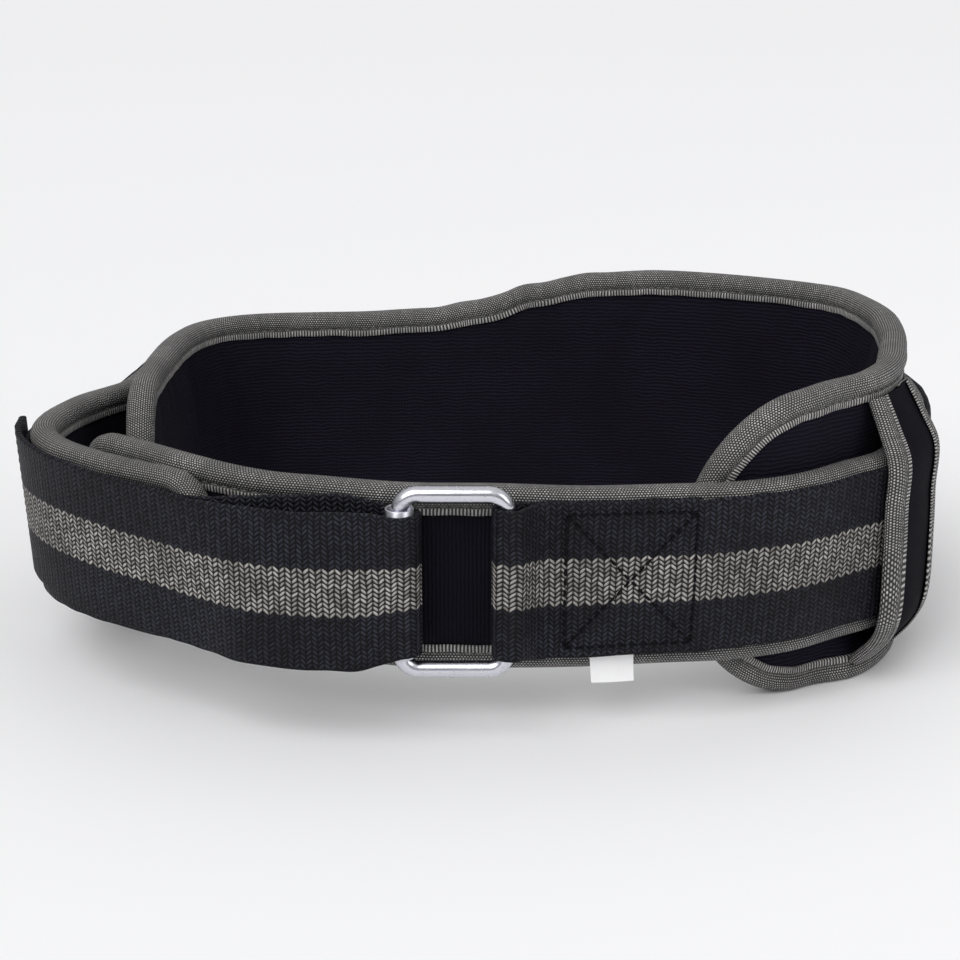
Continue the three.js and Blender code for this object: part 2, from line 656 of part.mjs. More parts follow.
// Offset of the keeper's middle line from the pad's middle line at one height
function keeperLine(s) {
  const padFace = padThickness / 2 + seatGap + tapeThickness + seatGap + keeperThickness / 2;
  const overBelt = padInset + beltOutside + webbingThickness + 5 * seatGap + tapeThickness + keeperThickness / 2;
  const top = padShare(s, 'top') - tapeReach - seatGap;
  const foot = padShare(s, 'foot') + tapeReach + seatGap;
  const beltTop = beltLift + beltHeight / 2 + 1;
  const beltFoot = beltLift - beltHeight / 2 - 1;
  const lean = (z) => valueAt(padPath, s, 'lean') * (z - beltLift);
  const pad = (z, share) => {
    const face = padFace + padOffset(s, z);
    return Math.max(face, face + (overBelt + lean(z) - face) * share);
  };
  const strapTop = webbingLift + webbingWidth / 2;
  const strapFoot = webbingLift - webbingWidth / 2;
  const overEdge = overBelt - webbingThickness;
  return [
    { z: foot, t: pad(foot, 0) },
    { z: foot + 2 * keeperThickness, t: pad(foot + 2 * keeperThickness, 0.25) },
    { z: beltFoot - 1, t: overEdge - 1 + lean(beltFoot) },
    { z: strapFoot - 1, t: overBelt + lean(strapFoot) },
    { z: beltLift, t: overBelt + keeperBulgeTop },
    { z: (beltLift + strapTop) / 2, t: overBelt + lean((beltLift + strapTop) / 2) },
    { z: strapTop + 1, t: overBelt + lean(strapTop) },
    { z: beltTop + 1, t: overEdge - 0.4 + lean(beltTop) },
    { z: top - 3 * keeperThickness, t: pad(top - 3 * keeperThickness, 0.4) },
    { z: top, t: pad(top, 0) },
  ];
}

function lineNormals(line) {
  return line.map((p, i) => {
    const before = line[Math.max(0, i - 1)];
    const after = line[Math.min(line.length - 1, i + 1)];
    const dz = after.z - before.z;
    const dt = after.t - before.t;
    const size = Math.hypot(dz, dt);
    return { ...p, outT: dz / size, outZ: -dt / size };
  });
}

function placeOnKeeper(s, z, t) {
  const p = beside(keeperPath, s, t);
  return [p.x, p.y, z];
}

function buildKeeper() {
  const half = keeperThickness / 2;
  const sections = keeperPath.map(({ s, run }) => {
    const line = lineNormals(keeperLine(run));
    const outer = line.map((p) => placeOnKeeper(s, p.z + p.outZ * half, p.t + p.outT * half));
    const inner = line.map((p) => placeOnKeeper(s, p.z - p.outZ * half, p.t - p.outT * half));
    return [...outer, ...inner.reverse()];
  });
  return loft('keeper_panel', sections, finishes.panel, false);
}

// Tape folded over one upright edge of the keeper, from station `edge` toward station `next`
function buildKeeperTape(name, edge, next) {
  const inner = keeperThickness / 2 + seatGap;
  const outer = inner + tapeThickness;
  const sense = Math.sign(next.s - edge.s);
  const profile = [
    [keeperTapeReach, outer], [-0.5, outer], [-tapeThickness - seatGap, outer * 0.4],
    [-tapeThickness - seatGap, -outer * 0.4], [-0.5, -outer], [keeperTapeReach, -outer], [keeperTapeReach, -inner],
    [-seatGap, -inner], [-seatGap, inner], [keeperTapeReach, inner],
  ];
  const from = lineNormals(keeperLine(edge.run));
  const to = lineNormals(keeperLine(next.run));
  const span = Math.abs(next.s - edge.s);
  const sections = from.map((a, i) => profile.map(([reach, side]) => {
    const part = reach / span;
    const mix = (key) => a[key] + (to[i][key] - a[key]) * part;
    return placeOnKeeper(edge.s + sense * reach, mix('z') + mix('outZ') * side, mix('t') + mix('outT') * side);
  }));
  return loft(name, sections, finishes.tape, false);
}

function buildTag() {
  const run = tagReach * beltLength;
  const half = tagThickness / 2;
  const face = beltOutside + seatGap + half;
  const top = webbingLift - webbingWidth / 2 - beltLift - 2 * seatGap;
  const low = top - tagHeight;
  const stations = [
    run - tagWidth / 2,
    ...belt.map((p) => p.s).filter((s) => Math.abs(s - run) < tagWidth / 2 - 1),
    run + tagWidth / 2,
  ];
  const sections = stations.map((s) => [
    placeOnBelt(s, low, face + half), placeOnBelt(s, top, face + half),
    placeOnBelt(s, top, face - half), placeOnBelt(s, low, face - half),
  ]);
  return loft('size_tag', sections, finishes.tag, false);
}

const beltLine = outlineNormals(beltOutline());
const padLine = outlineNormals(padOutline());

const part = new THREE.Group();
part.name = 'weightlifting_belt';
part.add(
  core('belt_body', beltLine, belt.map((p) => p.s), beltThickness / 2, 0, [], placeOnBelt, finishes.cloth),
  edgeTape('belt_binding', beltLine, beltThickness / 2, placeOnBelt, finishes.tape),
  core('back_pad', padLine, padPath.map((p) => p.s), padThickness / 2, padHeight / 2, padCreases, placeOnPad, finishes.foam),
  edgeTape('pad_binding', padLine, padThickness / 2, placeOnPad, finishes.tape),
  buildKeeper(),
  buildKeeperTape('keeper_binding_near', keeperPath[0], keeperPath[1]),
  buildKeeperTape('keeper_binding_far', keeperPath[keeperPath.length - 1], keeperPath[keeperPath.length - 2]),
  buildWebbing(),
  buildRing(),
  buildRoller(),
  buildTag(),
);

// The origin lies on the floor under the middle of the bounding box
const bounds = new THREE.Box3().setFromObject(part, true);
const centre = bounds.getCenter(new THREE.Vector3());
part.position.set(-centre.x, -centre.y, -bounds.min.z);

export default part;
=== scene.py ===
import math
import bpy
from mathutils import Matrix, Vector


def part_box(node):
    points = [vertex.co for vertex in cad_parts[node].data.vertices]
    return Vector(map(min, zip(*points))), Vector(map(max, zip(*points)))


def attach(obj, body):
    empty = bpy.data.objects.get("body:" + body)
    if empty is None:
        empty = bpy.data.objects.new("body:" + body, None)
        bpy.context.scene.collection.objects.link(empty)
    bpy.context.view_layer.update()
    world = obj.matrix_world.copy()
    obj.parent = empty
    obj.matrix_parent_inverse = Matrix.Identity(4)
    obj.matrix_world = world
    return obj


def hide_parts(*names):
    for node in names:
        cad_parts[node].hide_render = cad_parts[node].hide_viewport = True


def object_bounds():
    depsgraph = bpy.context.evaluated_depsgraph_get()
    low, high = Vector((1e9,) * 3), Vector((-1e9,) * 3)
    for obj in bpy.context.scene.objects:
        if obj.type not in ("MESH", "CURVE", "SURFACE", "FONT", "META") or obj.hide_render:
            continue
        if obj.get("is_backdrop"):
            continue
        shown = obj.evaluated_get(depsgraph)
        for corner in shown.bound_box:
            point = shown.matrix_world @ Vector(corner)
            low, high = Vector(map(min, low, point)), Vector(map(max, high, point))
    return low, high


bl_info = {
    "name": "Weightlifting Belt",
    "version": (1, 0, 0),
    "blender": (4, 5, 0),
    "location": "View3D > Sidebar > Belt",
    "description": "Builds a fastened, padded weightlifting belt piece by piece round its frame",
    "category": "Add Mesh",
}

from collections import namedtuple

import bmesh
import bpy
import numpy as np
from mathutils import Matrix, Vector

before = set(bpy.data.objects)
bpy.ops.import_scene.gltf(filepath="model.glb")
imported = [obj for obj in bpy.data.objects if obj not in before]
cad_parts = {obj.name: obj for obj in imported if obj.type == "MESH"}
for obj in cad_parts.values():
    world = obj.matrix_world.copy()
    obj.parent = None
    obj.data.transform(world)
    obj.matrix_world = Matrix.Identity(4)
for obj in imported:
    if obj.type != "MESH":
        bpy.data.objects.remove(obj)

# Middle line of the narrow belt, from its tucked right end round the loop to its left front end.
# x and y are shares of half the loop's width and depth, lift is a share of the belt's height,
# lean is how far the wall tips outward per unit of height.
LoopRow = namedtuple("LoopRow", "x y lift lean")
LOOP_ROWS = [
    LoopRow(-0.868, -0.5, 0.086, 0.12),
    LoopRow(-0.801, -0.582, 0.086, 0.12),
    LoopRow(-0.718, -0.668, 0.08, 0.12),
    LoopRow(-0.629, -0.77, 0.075, 0.12),
    LoopRow(-0.533, -0.852, 0.06, 0.12),
    LoopRow(-0.45, -0.898, 0.047, 0.11),
    LoopRow(-0.361, -0.923, 0.036, 0.08),
    LoopRow(-0.189, -0.972, 0.021, 0.04),
    LoopRow(-0.01, -0.978, 0.019, 0.04),
    LoopRow(0.168, -0.962, 0.004, 0.08),
    LoopRow(0.34, -0.932, 0, 0.1),
    LoopRow(0.485, -0.908, 0, 0.1),
    LoopRow(0.615, -0.838, 0, 0.08),
    LoopRow(0.732, -0.716, 0.002, 0.05),
    LoopRow(0.809, -0.634, 0.003, 0.03),
    LoopRow(0.867, -0.515, 0.005, 0.01),
    LoopRow(0.911, -0.367, 0.005, 0),
    LoopRow(0.946, -0.184, 0.005, 0),
    LoopRow(0.98, 0.061, 0.002, 0),
    LoopRow(0.99, 0.3, 0, 0),
    LoopRow(0.963, 0.515, 0, 0),
    LoopRow(0.917, 0.684, 0, 0),
    LoopRow(0.827, 0.791, 0, 0),
    LoopRow(0.615, 0.923, 0, 0),
    LoopRow(0.375, 1, 0, 0),
    LoopRow(0.1, 1.012, 0, 0),
    LoopRow(-0.175, 0.995, 0, 0),
    LoopRow(-0.45, 0.969, 0, 0),
    LoopRow(-0.629, 0.939, 0, 0),
    LoopRow(-0.732, 0.872, 0, 0),
    LoopRow(-0.808, 0.755, 0, 0),
    LoopRow(-0.85, 0.571, 0, 0),
    LoopRow(-0.868, 0.37, 0, 0),
    LoopRow(-0.886, 0.225, 0.002, 0.01),
    LoopRow(-0.921, 0.107, 0.012, 0.02),
    LoopRow(-0.957, 0.01, 0.02, 0.02),
    LoopRow(-0.982, -0.122, 0.03, 0.03),
    LoopRow(-0.999, -0.265, 0.036, 0.04),
    LoopRow(-0.99, -0.408, 0.04, 0.05),
    LoopRow(-0.94, -0.546, 0.043, 0.06),
    LoopRow(-0.854, -0.673, 0.045, 0.07),
    LoopRow(-0.766, -0.765, 0.045, 0.08),
    LoopRow(-0.67, -0.852, 0.045, 0.09),
    LoopRow(-0.588, -0.929, 0.045, 0.09),
]

# Plan of the pad's left wing, where it leaves the narrow belt
WingRow = namedtuple("WingRow", "x y")
WING_ROWS = [
    WingRow(-0.812, 0.27),
    WingRow(-0.815, 0.12),
    WingRow(-0.815, -0.02),
    WingRow(-0.812, -0.13),
    WingRow(-0.808, -0.24),
    WingRow(-0.804, -0.35),
]

# Upper and lower edge of the pad and their outward flare, in shares of the pad's height,
# by reach, the share of the pad's length from its near right end
PadRow = namedtuple("PadRow", "reach top foot flare_top flare_foot")
PAD_ROWS = [
    PadRow(0, 0.99, 0, 0, 0),
    PadRow(0.08, 0.995, 0, 0, 0.02),
    PadRow(0.12, 1, 0, 0.01, 0.05),
    PadRow(0.155, 1, 0, 0.02, 0.05),
    PadRow(0.2, 1, 0, 0.01, 0.04),
    PadRow(0.26, 1, 0, 0, 0.01),
    PadRow(0.34, 1, 0, 0, 0),
    PadRow(0.475, 1.01, 0, 0, 0),
    PadRow(0.525, 0.995, 0, 0, 0),
    PadRow(0.565, 0.955, 0, 0, 0),
    PadRow(0.603, 0.895, 0, 0, 0),
    PadRow(0.64, 0.862, 0, 0, 0),
    PadRow(0.69, 0.852, 0, 0, 0),
    PadRow(1, 0.85, 0, 0, 0),
]

# The strap between the belt's left end and the roller, and the tail's start on its way back
RunRow = namedtuple("RunRow", "x y lift")
INNER_RUN_ROWS = [
    RunRow(-0.515, -1.01, 0.012),
    RunRow(-0.43, -1.032, 0.032),
    RunRow(-0.31, -1.038, 0.036),
]
TAIL_RUN_ROWS = [
    RunRow(-0.28, -1.15, 0.012),
    RunRow(-0.354, -1.148, 0.012),
    RunRow(-0.44, -1.128, 0.012),
    RunRow(-0.525, -1.082, 0.012),
]

# Rise of the tail toward its free end, in shares of the strap's width, and the slant of its cross lines
RiseRow = namedtuple("RiseRow", "reach rise slant")
TAIL_RISE_ROWS = [
    RiseRow(0, 0.012, 0),
    RiseRow(0.25, 0.038, 0.02),
    RiseRow(0.5, 0.065, 0.04),
    RiseRow(0.8, 0.09, 0.06),
    RiseRow(1, 0.106, 0.08),
]

# Half thickness of a padded panel by the distance from its edge, both in metres
PuffRow = namedtuple("PuffRow", "depth half")
PUFF_ROWS = [
    PuffRow(0.0, 0.0010),
    PuffRow(0.0016, 0.0021),
    PuffRow(0.0055, 0.0027),
    PuffRow(0.0080, 0.0033),
    PuffRow(0.0105, 0.0038),
    PuffRow(0.0160, 0.0041),
    PuffRow(0.0300, 0.0043),
]

# Outer side of the edge tape: depth from the edge and height over the panel's middle, in metres.
# The roll over the edge ends in a stitched groove, and beyond it lies the ribbed selvedge.
TapeRow = namedtuple("TapeRow", "depth height")
TAPE_ROWS = [
    TapeRow(0.0084, 0.0036),
    TapeRow(0.0083, 0.0041),
    TapeRow(0.0074, 0.00425),
    TapeRow(0.0064, 0.0042),
    TapeRow(0.0059, 0.0038),
    TapeRow(0.0055, 0.0038),
    TapeRow(0.0049, 0.0043),
    TapeRow(0.0036, 0.0046),
    TapeRow(0.0023, 0.0043),
    TapeRow(0.0012, 0.0036),
    TapeRow(0.0004, 0.0025),
    TapeRow(0.0, 0.0012),
]

TABLE_UNIT = 0.001
PAD_NEAR_END = 0.38
SEAT_GAP = 0.0003


def linear(red, green, blue):
    """A colour given in screen values from 0 to 255, as scene-linear numbers."""
    channels = [value / 255 for value in (red, green, blue)]
    return tuple(c / 12.92 if c <= 0.04045 else ((c + 0.055) / 1.055) ** 2.4 for c in channels)


def length_property(name, description, default):
    """A length in metres for the sizes group."""
    return bpy.props.FloatProperty(
        name=name, description=description, default=default, min=0.0, unit="LENGTH", precision=5
    )


def colour_property(name, description, default):
    """A colour for the colours group."""
    return bpy.props.FloatVectorProperty(
        name=name, description=description, default=default, min=0.0, max=1.0, size=3, subtype="COLOR"
    )


class BeltSizes(bpy.types.PropertyGroup):
    """Sizes of the belt's pieces."""

    loop_width: length_property("Loop width", "Width of the fastened loop", 0.291)
    loop_depth: length_property("Loop depth", "Depth of the fastened loop", 0.196)
    belt_height: length_property("Belt height", "Height of the narrow belt", 0.0585)
    belt_corner: length_property("Belt corner", "Corner radius of the narrow belt's ends", 0.012)
    belt_lift: length_property("Belt lift", "Height of the narrow belt's middle over the floor", 0.04705)
    pad_height: length_property("Pad height", "Height of the back pad", 0.101)
    pad_thickness: length_property("Pad thickness", "Thickness of the pad and of the narrow belt", 0.008)
    tape_reach: length_property("Tape reach", "How far the edge tape reaches in from an edge", 0.0082)
    strap_width: length_property("Strap width", "Width of the webbing strap", 0.050)
    strap_thickness: length_property("Strap thickness", "Thickness of the webbing strap", 0.0018)
    stripe_width: length_property("Stripe width", "Width of the strap's pale stripe", 0.0158)
    tail_length: length_property("Tail length", "Length of the tail along the belt", 0.092)
    ring_corner: length_property("Ring corner", "Outer corner radius of the ring", 0.0079)
    keeper_span: length_property("Keeper span", "Width of the keeper strip", 0.0254)
    keeper_tape_reach: length_property("Keeper tape reach", "How far the keeper's tape reaches in from its edge", 0.0056)
    keeper_thickness: length_property("Keeper thickness", "Thickness of the keeper strip", 0.0015)
    stitch_pitch: length_property("Stitch pitch", "Distance from stitch to stitch", 0.0032)
    thread: length_property("Thread", "Diameter of the sewing thread", 0.00036)
    strap_thread: length_property("Strap thread", "Diameter of the thread that sews the strap", 0.0009)


class BeltColours(bpy.types.PropertyGroup):
    """Colours of the belt's finishes."""

    lining: colour_property("Lining", "Ribbed cloth of the pad", linear(25, 22, 35))
    belt_cloth: colour_property("Belt cloth", "Ribbed cloth of the narrow belt", linear(22, 21, 31))
    tape: colour_property("Tape", "Yarn of the edge tape", linear(202, 200, 198))
    strap: colour_property("Strap", "Dark yarn of the strap", linear(50, 50, 61))
    stripe: colour_property("Stripe", "Pale yarn of the strap's stripe", linear(184, 181, 177))
    keeper: colour_property("Keeper", "Smooth cloth of the keeper", linear(19, 18, 26))
    steel: colour_property("Steel", "Polished steel of the ring and roller", linear(214, 214, 222))
    tag: colour_property("Tag", "Cloth of the size tag", linear(254, 254, 254))


def sizes():
    """The sizes set in the sidebar."""
    return bpy.context.scene.belt_sizes


def colours():
    """The colours set in the sidebar."""
    return bpy.context.scene.belt_colours


def smooth_line(points, steps):
    """A dense curve through the points, with this many pieces in each span."""
    points = np.asarray(points, float)
    points = np.vstack([2 * points[0] - points[1], points, 2 * points[-1] - points[-2]])
    gaps = np.sqrt(np.maximum(np.linalg.norm(np.diff(points[:, :2], axis=0), axis=1), 1e-7))
    knots = np.concatenate([[0.0], np.cumsum(gaps)])
    dense = []
    for i in range(1, len(points) - 2):
        t = np.linspace(knots[i], knots[i + 1], steps, endpoint=False)[:, None]
        k0, k1, k2, k3 = knots[i - 1:i + 3]
        p0, p1, p2, p3 = points[i - 1:i + 3]
        a1 = (k1 - t) / (k1 - k0) * p0 + (t - k0) / (k1 - k0) * p1
        a2 = (k2 - t) / (k2 - k1) * p1 + (t - k1) / (k2 - k1) * p2
        a3 = (k3 - t) / (k3 - k2) * p2 + (t - k2) / (k3 - k2) * p3
        b1 = (k2 - t) / (k2 - k0) * a1 + (t - k0) / (k2 - k0) * a2
        b2 = (k3 - t) / (k3 - k1) * a2 + (t - k1) / (k3 - k1) * a3
        dense.append((k2 - t) / (k2 - k1) * b1 + (t - k1) / (k2 - k1) * b2)
    dense.append(points[-2][None, :])
    return np.vstack(dense)


def soft_step(value, low, high):
    """0 below low, 1 above high, smooth between."""
    part = np.clip((value - low) / (high - low), 0, 1)
    return part * part * (3 - 2 * part)


def from_rows(rows, key, at, value):
    """A table's value at a place, eased from row to row."""
    keys = np.array([getattr(row, key) for row in rows], float)
    values = np.array([getattr(row, value) for row in rows], float)
    at = np.clip(at, keys[0], keys[-1])
    i = np.clip(np.searchsorted(keys, at, side="right") - 1, 0, len(keys) - 2)
    part = (at - keys[i]) / (keys[i + 1] - keys[i])
    return values[i] + (values[i + 1] - values[i]) * part * part * (3 - 2 * part)


class PlanLine:
    """A smooth line in plan with its right-hand normals and the values that it carries along."""

    margin = 0.02

    def __init__(self, points, carried=None):
        points = np.asarray(points, float)
        steps = np.linalg.norm(np.diff(points[:, :2], axis=0), axis=1)
        self.run = np.concatenate([[0.0], np.cumsum(steps)])
        self.length = float(self.run[-1])
        tangent = np.gradient(points[:, :2], self.run, axis=0)
        tangent /= np.linalg.norm(tangent, axis=1)[:, None]
        self.normal = np.stack([tangent[:, 1], -tangent[:, 0]], axis=1)
        first = points[0, :2] - tangent[0] * self.margin
        last = points[-1, :2] + tangent[-1] * self.margin
        self.points = np.vstack([first, points[:, :2], last])
        self.normal = np.vstack([self.normal[0], self.normal, self.normal[-1]])
        self.run = np.concatenate([[-self.margin], self.run, [self.length + self.margin]])
        self.carried = {}
        for key, values in (carried or {}).items():
            values = np.asarray(values, float)
            self.carried[key] = np.concatenate([[values[0]], values, [values[-1]]])

    def beside(self, run, out):
        """Points at these runs, offset to the line's right-hand side."""
        x = np.interp(run, self.run, self.points[:, 0]) + np.interp(run, self.run, self.normal[:, 0]) * out
        y = np.interp(run, self.run, self.points[:, 1]) + np.interp(run, self.run, self.normal[:, 1]) * out
        return x, y

    def value(self, run, key):
        """A carried value at these runs."""
        return np.interp(run, self.run, self.carried[key])


def loop_middle():
    """Where the tables' zero point lies in the frame, told by the ring that hangs in it."""
    low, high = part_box("buckle_ring")
    middle = (low + high) / 2
    return middle.x + 0.0907 * sizes().loop_width / 2, middle.y + 1.104 * sizes().loop_depth / 2


def plan_points(rows):
    """Table rows as plan points in metres."""
    middle_x, middle_y = loop_middle()
    half_width, half_depth = sizes().loop_width / 2, sizes().loop_depth / 2
    return np.array([[middle_x + row.x * half_width, middle_y + row.y * half_depth] for row in rows])


def belt_line():
    """The narrow belt's plan line with its lift and lean."""
    columns = [[row.lift * sizes().belt_height, row.lean] for row in LOOP_ROWS]
    dense = smooth_line(np.hstack([plan_points(LOOP_ROWS), columns]), 40)
    return PlanLine(dense, {"lift": dense[:, 2], "lean": dense[:, 3]})


def place_on_belt(line, run, height, out):
    """Points on the narrow belt: run along it, height over its middle, out from its middle surface."""
    lean, lift = line.value(run, "lean"), line.value(run, "lift")
    x, y = line.beside(run, out + height * lean)
    return np.stack([x, y, sizes().belt_lift + lift + height], axis=-1)


def pad_line(belt):
    """The pad's plan line: beside the belt from its near right end, then the free left wing."""
    middle_x, middle_y = loop_middle()
    half_width, half_depth = sizes().loop_width / 2, sizes().loop_depth / 2
    inset = sizes().pad_thickness + SEAT_GAP
    x = (belt.points[:, 0] - middle_x) / half_width
    y = (belt.points[:, 1] - middle_y) / half_depth
    start = belt.run[np.argmax((y < 0) & (x > PAD_NEAR_END))]
    leave = belt.run[np.argmax((x < -0.8) & (y > 0) & (y < 0.4))] - 0.012
    runs = np.linspace(start, leave, 46)
    beside = np.stack(belt.beside(runs, -inset), axis=1)
    leans = np.concatenate([belt.value(runs, "lean"), np.zeros(len(WING_ROWS))])
    points = np.vstack([beside, plan_points(WING_ROWS)])
    dense = smooth_line(np.hstack([points, leans[:, None]]), 12)
    return PlanLine(dense, {"lean": dense[:, 2]})


def place_on_pad(line, run, height, out):
    """Points on the pad: it leans with the belt and flares above and below it."""
    belt_foot = sizes().belt_lift - sizes().belt_height / 2
    belt_top = sizes().belt_lift + sizes().belt_height / 2
    pad_height = sizes().pad_height
    reach = run / line.length
    high = np.maximum(0, (height - belt_top) / (pad_height - belt_top))
    low = np.maximum(0, (belt_foot - height) / belt_foot)
    flare = from_rows(PAD_ROWS, "reach", reach, "flare_top") * high
    flare = flare + from_rows(PAD_ROWS, "reach", reach, "flare_foot") * low
    tip = line.value(run, "lean") * (height - sizes().belt_lift) + flare * pad_height
    x, y = line.beside(run, out + tip)
    return np.stack([x, y, np.broadcast_to(height, x.shape)], axis=-1)


def quarter(centre_run, centre_height, across, up, start, end, steps):
    """Points of an elliptic quarter in run and height, from one angle to another in degrees."""
    angles = np.radians(np.linspace(start, end, steps))
    return np.stack([centre_run + across * np.cos(angles), centre_height + up * np.sin(angles)], axis=1)


class Outline:
    """A panel's closed outline in run and height, clockwise, with its inward normals."""

    def __init__(self, points):
        points = np.asarray(points, float)
        closed = smooth_line(np.vstack([points[-2:], points, points[:3]]), 4)
        closed = closed[8:8 + 4 * len(points)]
        self.points = closed
        after, before = np.roll(closed, -1, axis=0), np.roll(closed, 1, axis=0)
        along = after - before
        along /= np.linalg.norm(along, axis=1)[:, None]
        self.inward = np.stack([along[:, 1], -along[:, 0]], axis=1)
        steps = np.linalg.norm(after - closed, axis=1)
        self.run = np.concatenate([[0.0], np.cumsum(steps)])
        self.length = float(self.run[-1])

    def at(self, distance, depth):
        """Run and height at a distance round the outline, at a depth inside it."""
        ring = np.vstack([self.points, self.points[:1]])
        inward = np.vstack([self.inward, self.inward[:1]])
        distance = np.mod(distance, self.length)
        run = np.interp(distance, self.run, ring[:, 0]) + np.interp(distance, self.run, inward[:, 0]) * depth
        height = np.interp(distance, self.run, ring[:, 1]) + np.interp(distance, self.run, inward[:, 1]) * depth
        return run, height

    def depth_of(self, run, height):
        """Distance of each point inside the outline from it."""
        nearest = np.full(len(run), 1e9)
        for point in self.points:
            np.minimum(nearest, (run - point[0]) ** 2 + (height - point[1]) ** 2, out=nearest)
        return np.sqrt(nearest)

    def edges(self, run):
        """Upper and lower height of the outline at each run."""
        left, right = np.argmin(self.points[:, 0]), np.argmax(self.points[:, 0])
        rolled = np.roll(self.points, -left, axis=0)
        split = (right - left) % len(rolled)
        upper, lower = rolled[:split + 1], rolled[split:][::-1]
        lower = np.vstack([rolled[:1], lower])
        upper = upper[np.argsort(upper[:, 0], kind="stable")]
        lower = lower[np.argsort(lower[:, 0], kind="stable")]
        return np.interp(run, upper[:, 0], upper[:, 1]), np.interp(run, lower[:, 0], lower[:, 1])


def belt_outline(length):
    """Outline of the narrow belt with its four rounded corners. Its lower edge rises a little
    where the strap's tail covers it."""
    corner, top, rise = sizes().belt_corner, sizes().belt_height / 2, 0.003
    inner = np.linspace(corner, length - corner, 90)[1:-1]
    feet = -top + rise * soft_step(inner, length - 0.17, length - 0.12)
    return Outline(np.vstack([
        quarter(corner, top - corner, corner, corner, 180, 90, 9),
        np.stack([inner, np.full_like(inner, top)], axis=1),
        quarter(length - corner, top - corner, corner, corner, 90, 0, 9),
        quarter(length - corner, corner - top + rise, corner, corner, 0, -90, 9),
        np.stack([inner, feet], axis=1)[::-1],
        quarter(corner, corner - top, corner, corner, 270, 180, 9),
    ]))


def pad_outline(length):
    """Outline of the pad with its tall plateau, ramp, low wing and rounded ends."""
    height = sizes().pad_height
    middle = height / 2
    near_top, near_foot, far = 0.036, 0.043, 0.030
    top = from_rows(PAD_ROWS, "reach", np.array([0.0, 1.0]), "top") * height - middle
    tops = np.linspace(near_top, length - far, 60)[1:-1]
    feet = np.linspace(near_foot, length - far, 60)[1:-1]
    top_heights = from_rows(PAD_ROWS, "reach", tops / length, "top") * height
    return Outline(np.vstack([
        quarter(near_top, middle, near_top, top[0], 180, 90, 14),
        np.stack([tops, top_heights], axis=1),
        quarter(length - far, middle, far, top[1], 90, 0, 14),
        quarter(length - far, middle, far, middle, 0, -90, 14)[1:],
        np.stack([feet[::-1], np.zeros_like(feet)], axis=1),
        quarter(near_foot, middle, near_foot, middle, 270, 180, 14)[:-1],
    ]))


def finish_piece(name, shape, material, replaces=(), smooth=True):
    """Turns a bmesh into a piece that rides on the frame, its faces outward."""
    if shape.calc_volume(signed=True) < 0:
        bmesh.ops.reverse_faces(shape, faces=shape.faces[:])
    for face in shape.faces:
        face.smooth = smooth
    mesh = bpy.data.meshes.new(name)
    shape.to_mesh(mesh)
    shape.free()
    piece = bpy.data.objects.new(name, mesh)
    bpy.context.scene.collection.objects.link(piece)
    mesh.materials.append(material)
    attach(piece, "root")
    if replaces:
        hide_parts(*replaces)
    return piece


def cloth_grid(columns, rows, wrap, close_rows=False, close_columns=False, cap=False):
    """A flat grid of cloth, wrapped to its place. wrap takes shares along and across, and gives
    the points and the cloth's own flat coordinates, which become the UV map."""
    shape = bmesh.new()
    uv_layer = shape.loops.layers.uv.new("flat")
    bmesh.ops.create_grid(shape, x_segments=columns, y_segments=rows, size=0.5)
    shape.verts.ensure_lookup_table()
    shares = np.array([vertex.co[:2] for vertex in shape.verts]) + 0.5
    points, flat = wrap(np.clip(shares[:, 0], 0, 1), np.clip(shares[:, 1], 0, 1))
    for vertex, point in zip(shape.verts, points):
        vertex.co = point
    for face in shape.faces:
        for corner in face.loops:
            corner[uv_layer].uv = flat[corner.vert.index]
    if close_rows or close_columns:
        bmesh.ops.remove_doubles(shape, verts=[v for v in shape.verts if v.is_boundary], dist=1e-6)
    if cap:
        ends = [edge for edge in shape.edges if edge.is_boundary]
        bmesh.ops.holes_fill(shape, edges=ends, sides=0)
    return shape


def ripple(run, height, seed):
    """Slow, shallow unevenness of cloth over foam, from -1 to 1."""
    wave = np.sin(run * 91 + seed) * np.cos(height * 67 + 1.7 * seed)
    wave = wave + 0.6 * np.sin(run * 173 + height * 118 + 2.3 * seed)
    wave = wave + 0.4 * np.sin(run * 47 - height * 201 + 0.9 * seed)
    return wave / 2.0


def padded_panel(outline, place, length, columns, rows, seed):
    """A foam panel under cloth, thin where the edge tape grips it and full in its middle."""
    tuck = 0.0014

    def wrap(along, round_share):
        ease = (1 - np.cos(np.pi * along)) / 2
        run = tuck + (length - 2 * tuck) * (0.35 * ease + 0.65 * along)
        upper, lower = outline.edges(run)
        upper, lower = upper - tuck, lower + tuck
        front = round_share <= 0.5
        part = np.where(front, round_share * 2, 2 - round_share * 2)
        part = 0.65 * part + 0.35 * (1 - np.cos(np.pi * part)) / 2
        height = lower + (upper - lower) * part
        depth = outline.depth_of(run, height)
        half = np.interp(depth, [row.depth for row in PUFF_ROWS], [row.half for row in PUFF_ROWS])
        half = half + 0.00016 * ripple(run, height, seed) * soft_step(depth, 0.009, 0.02)
        half = np.where((part < 1e-4) | (part > 1 - 1e-4), 0.0, half)
        out = np.where(front, half, -half)
        return place(run, height, out), np.stack([run, height], axis=1)

    return cloth_grid(columns, rows, wrap, close_rows=True, cap=True)


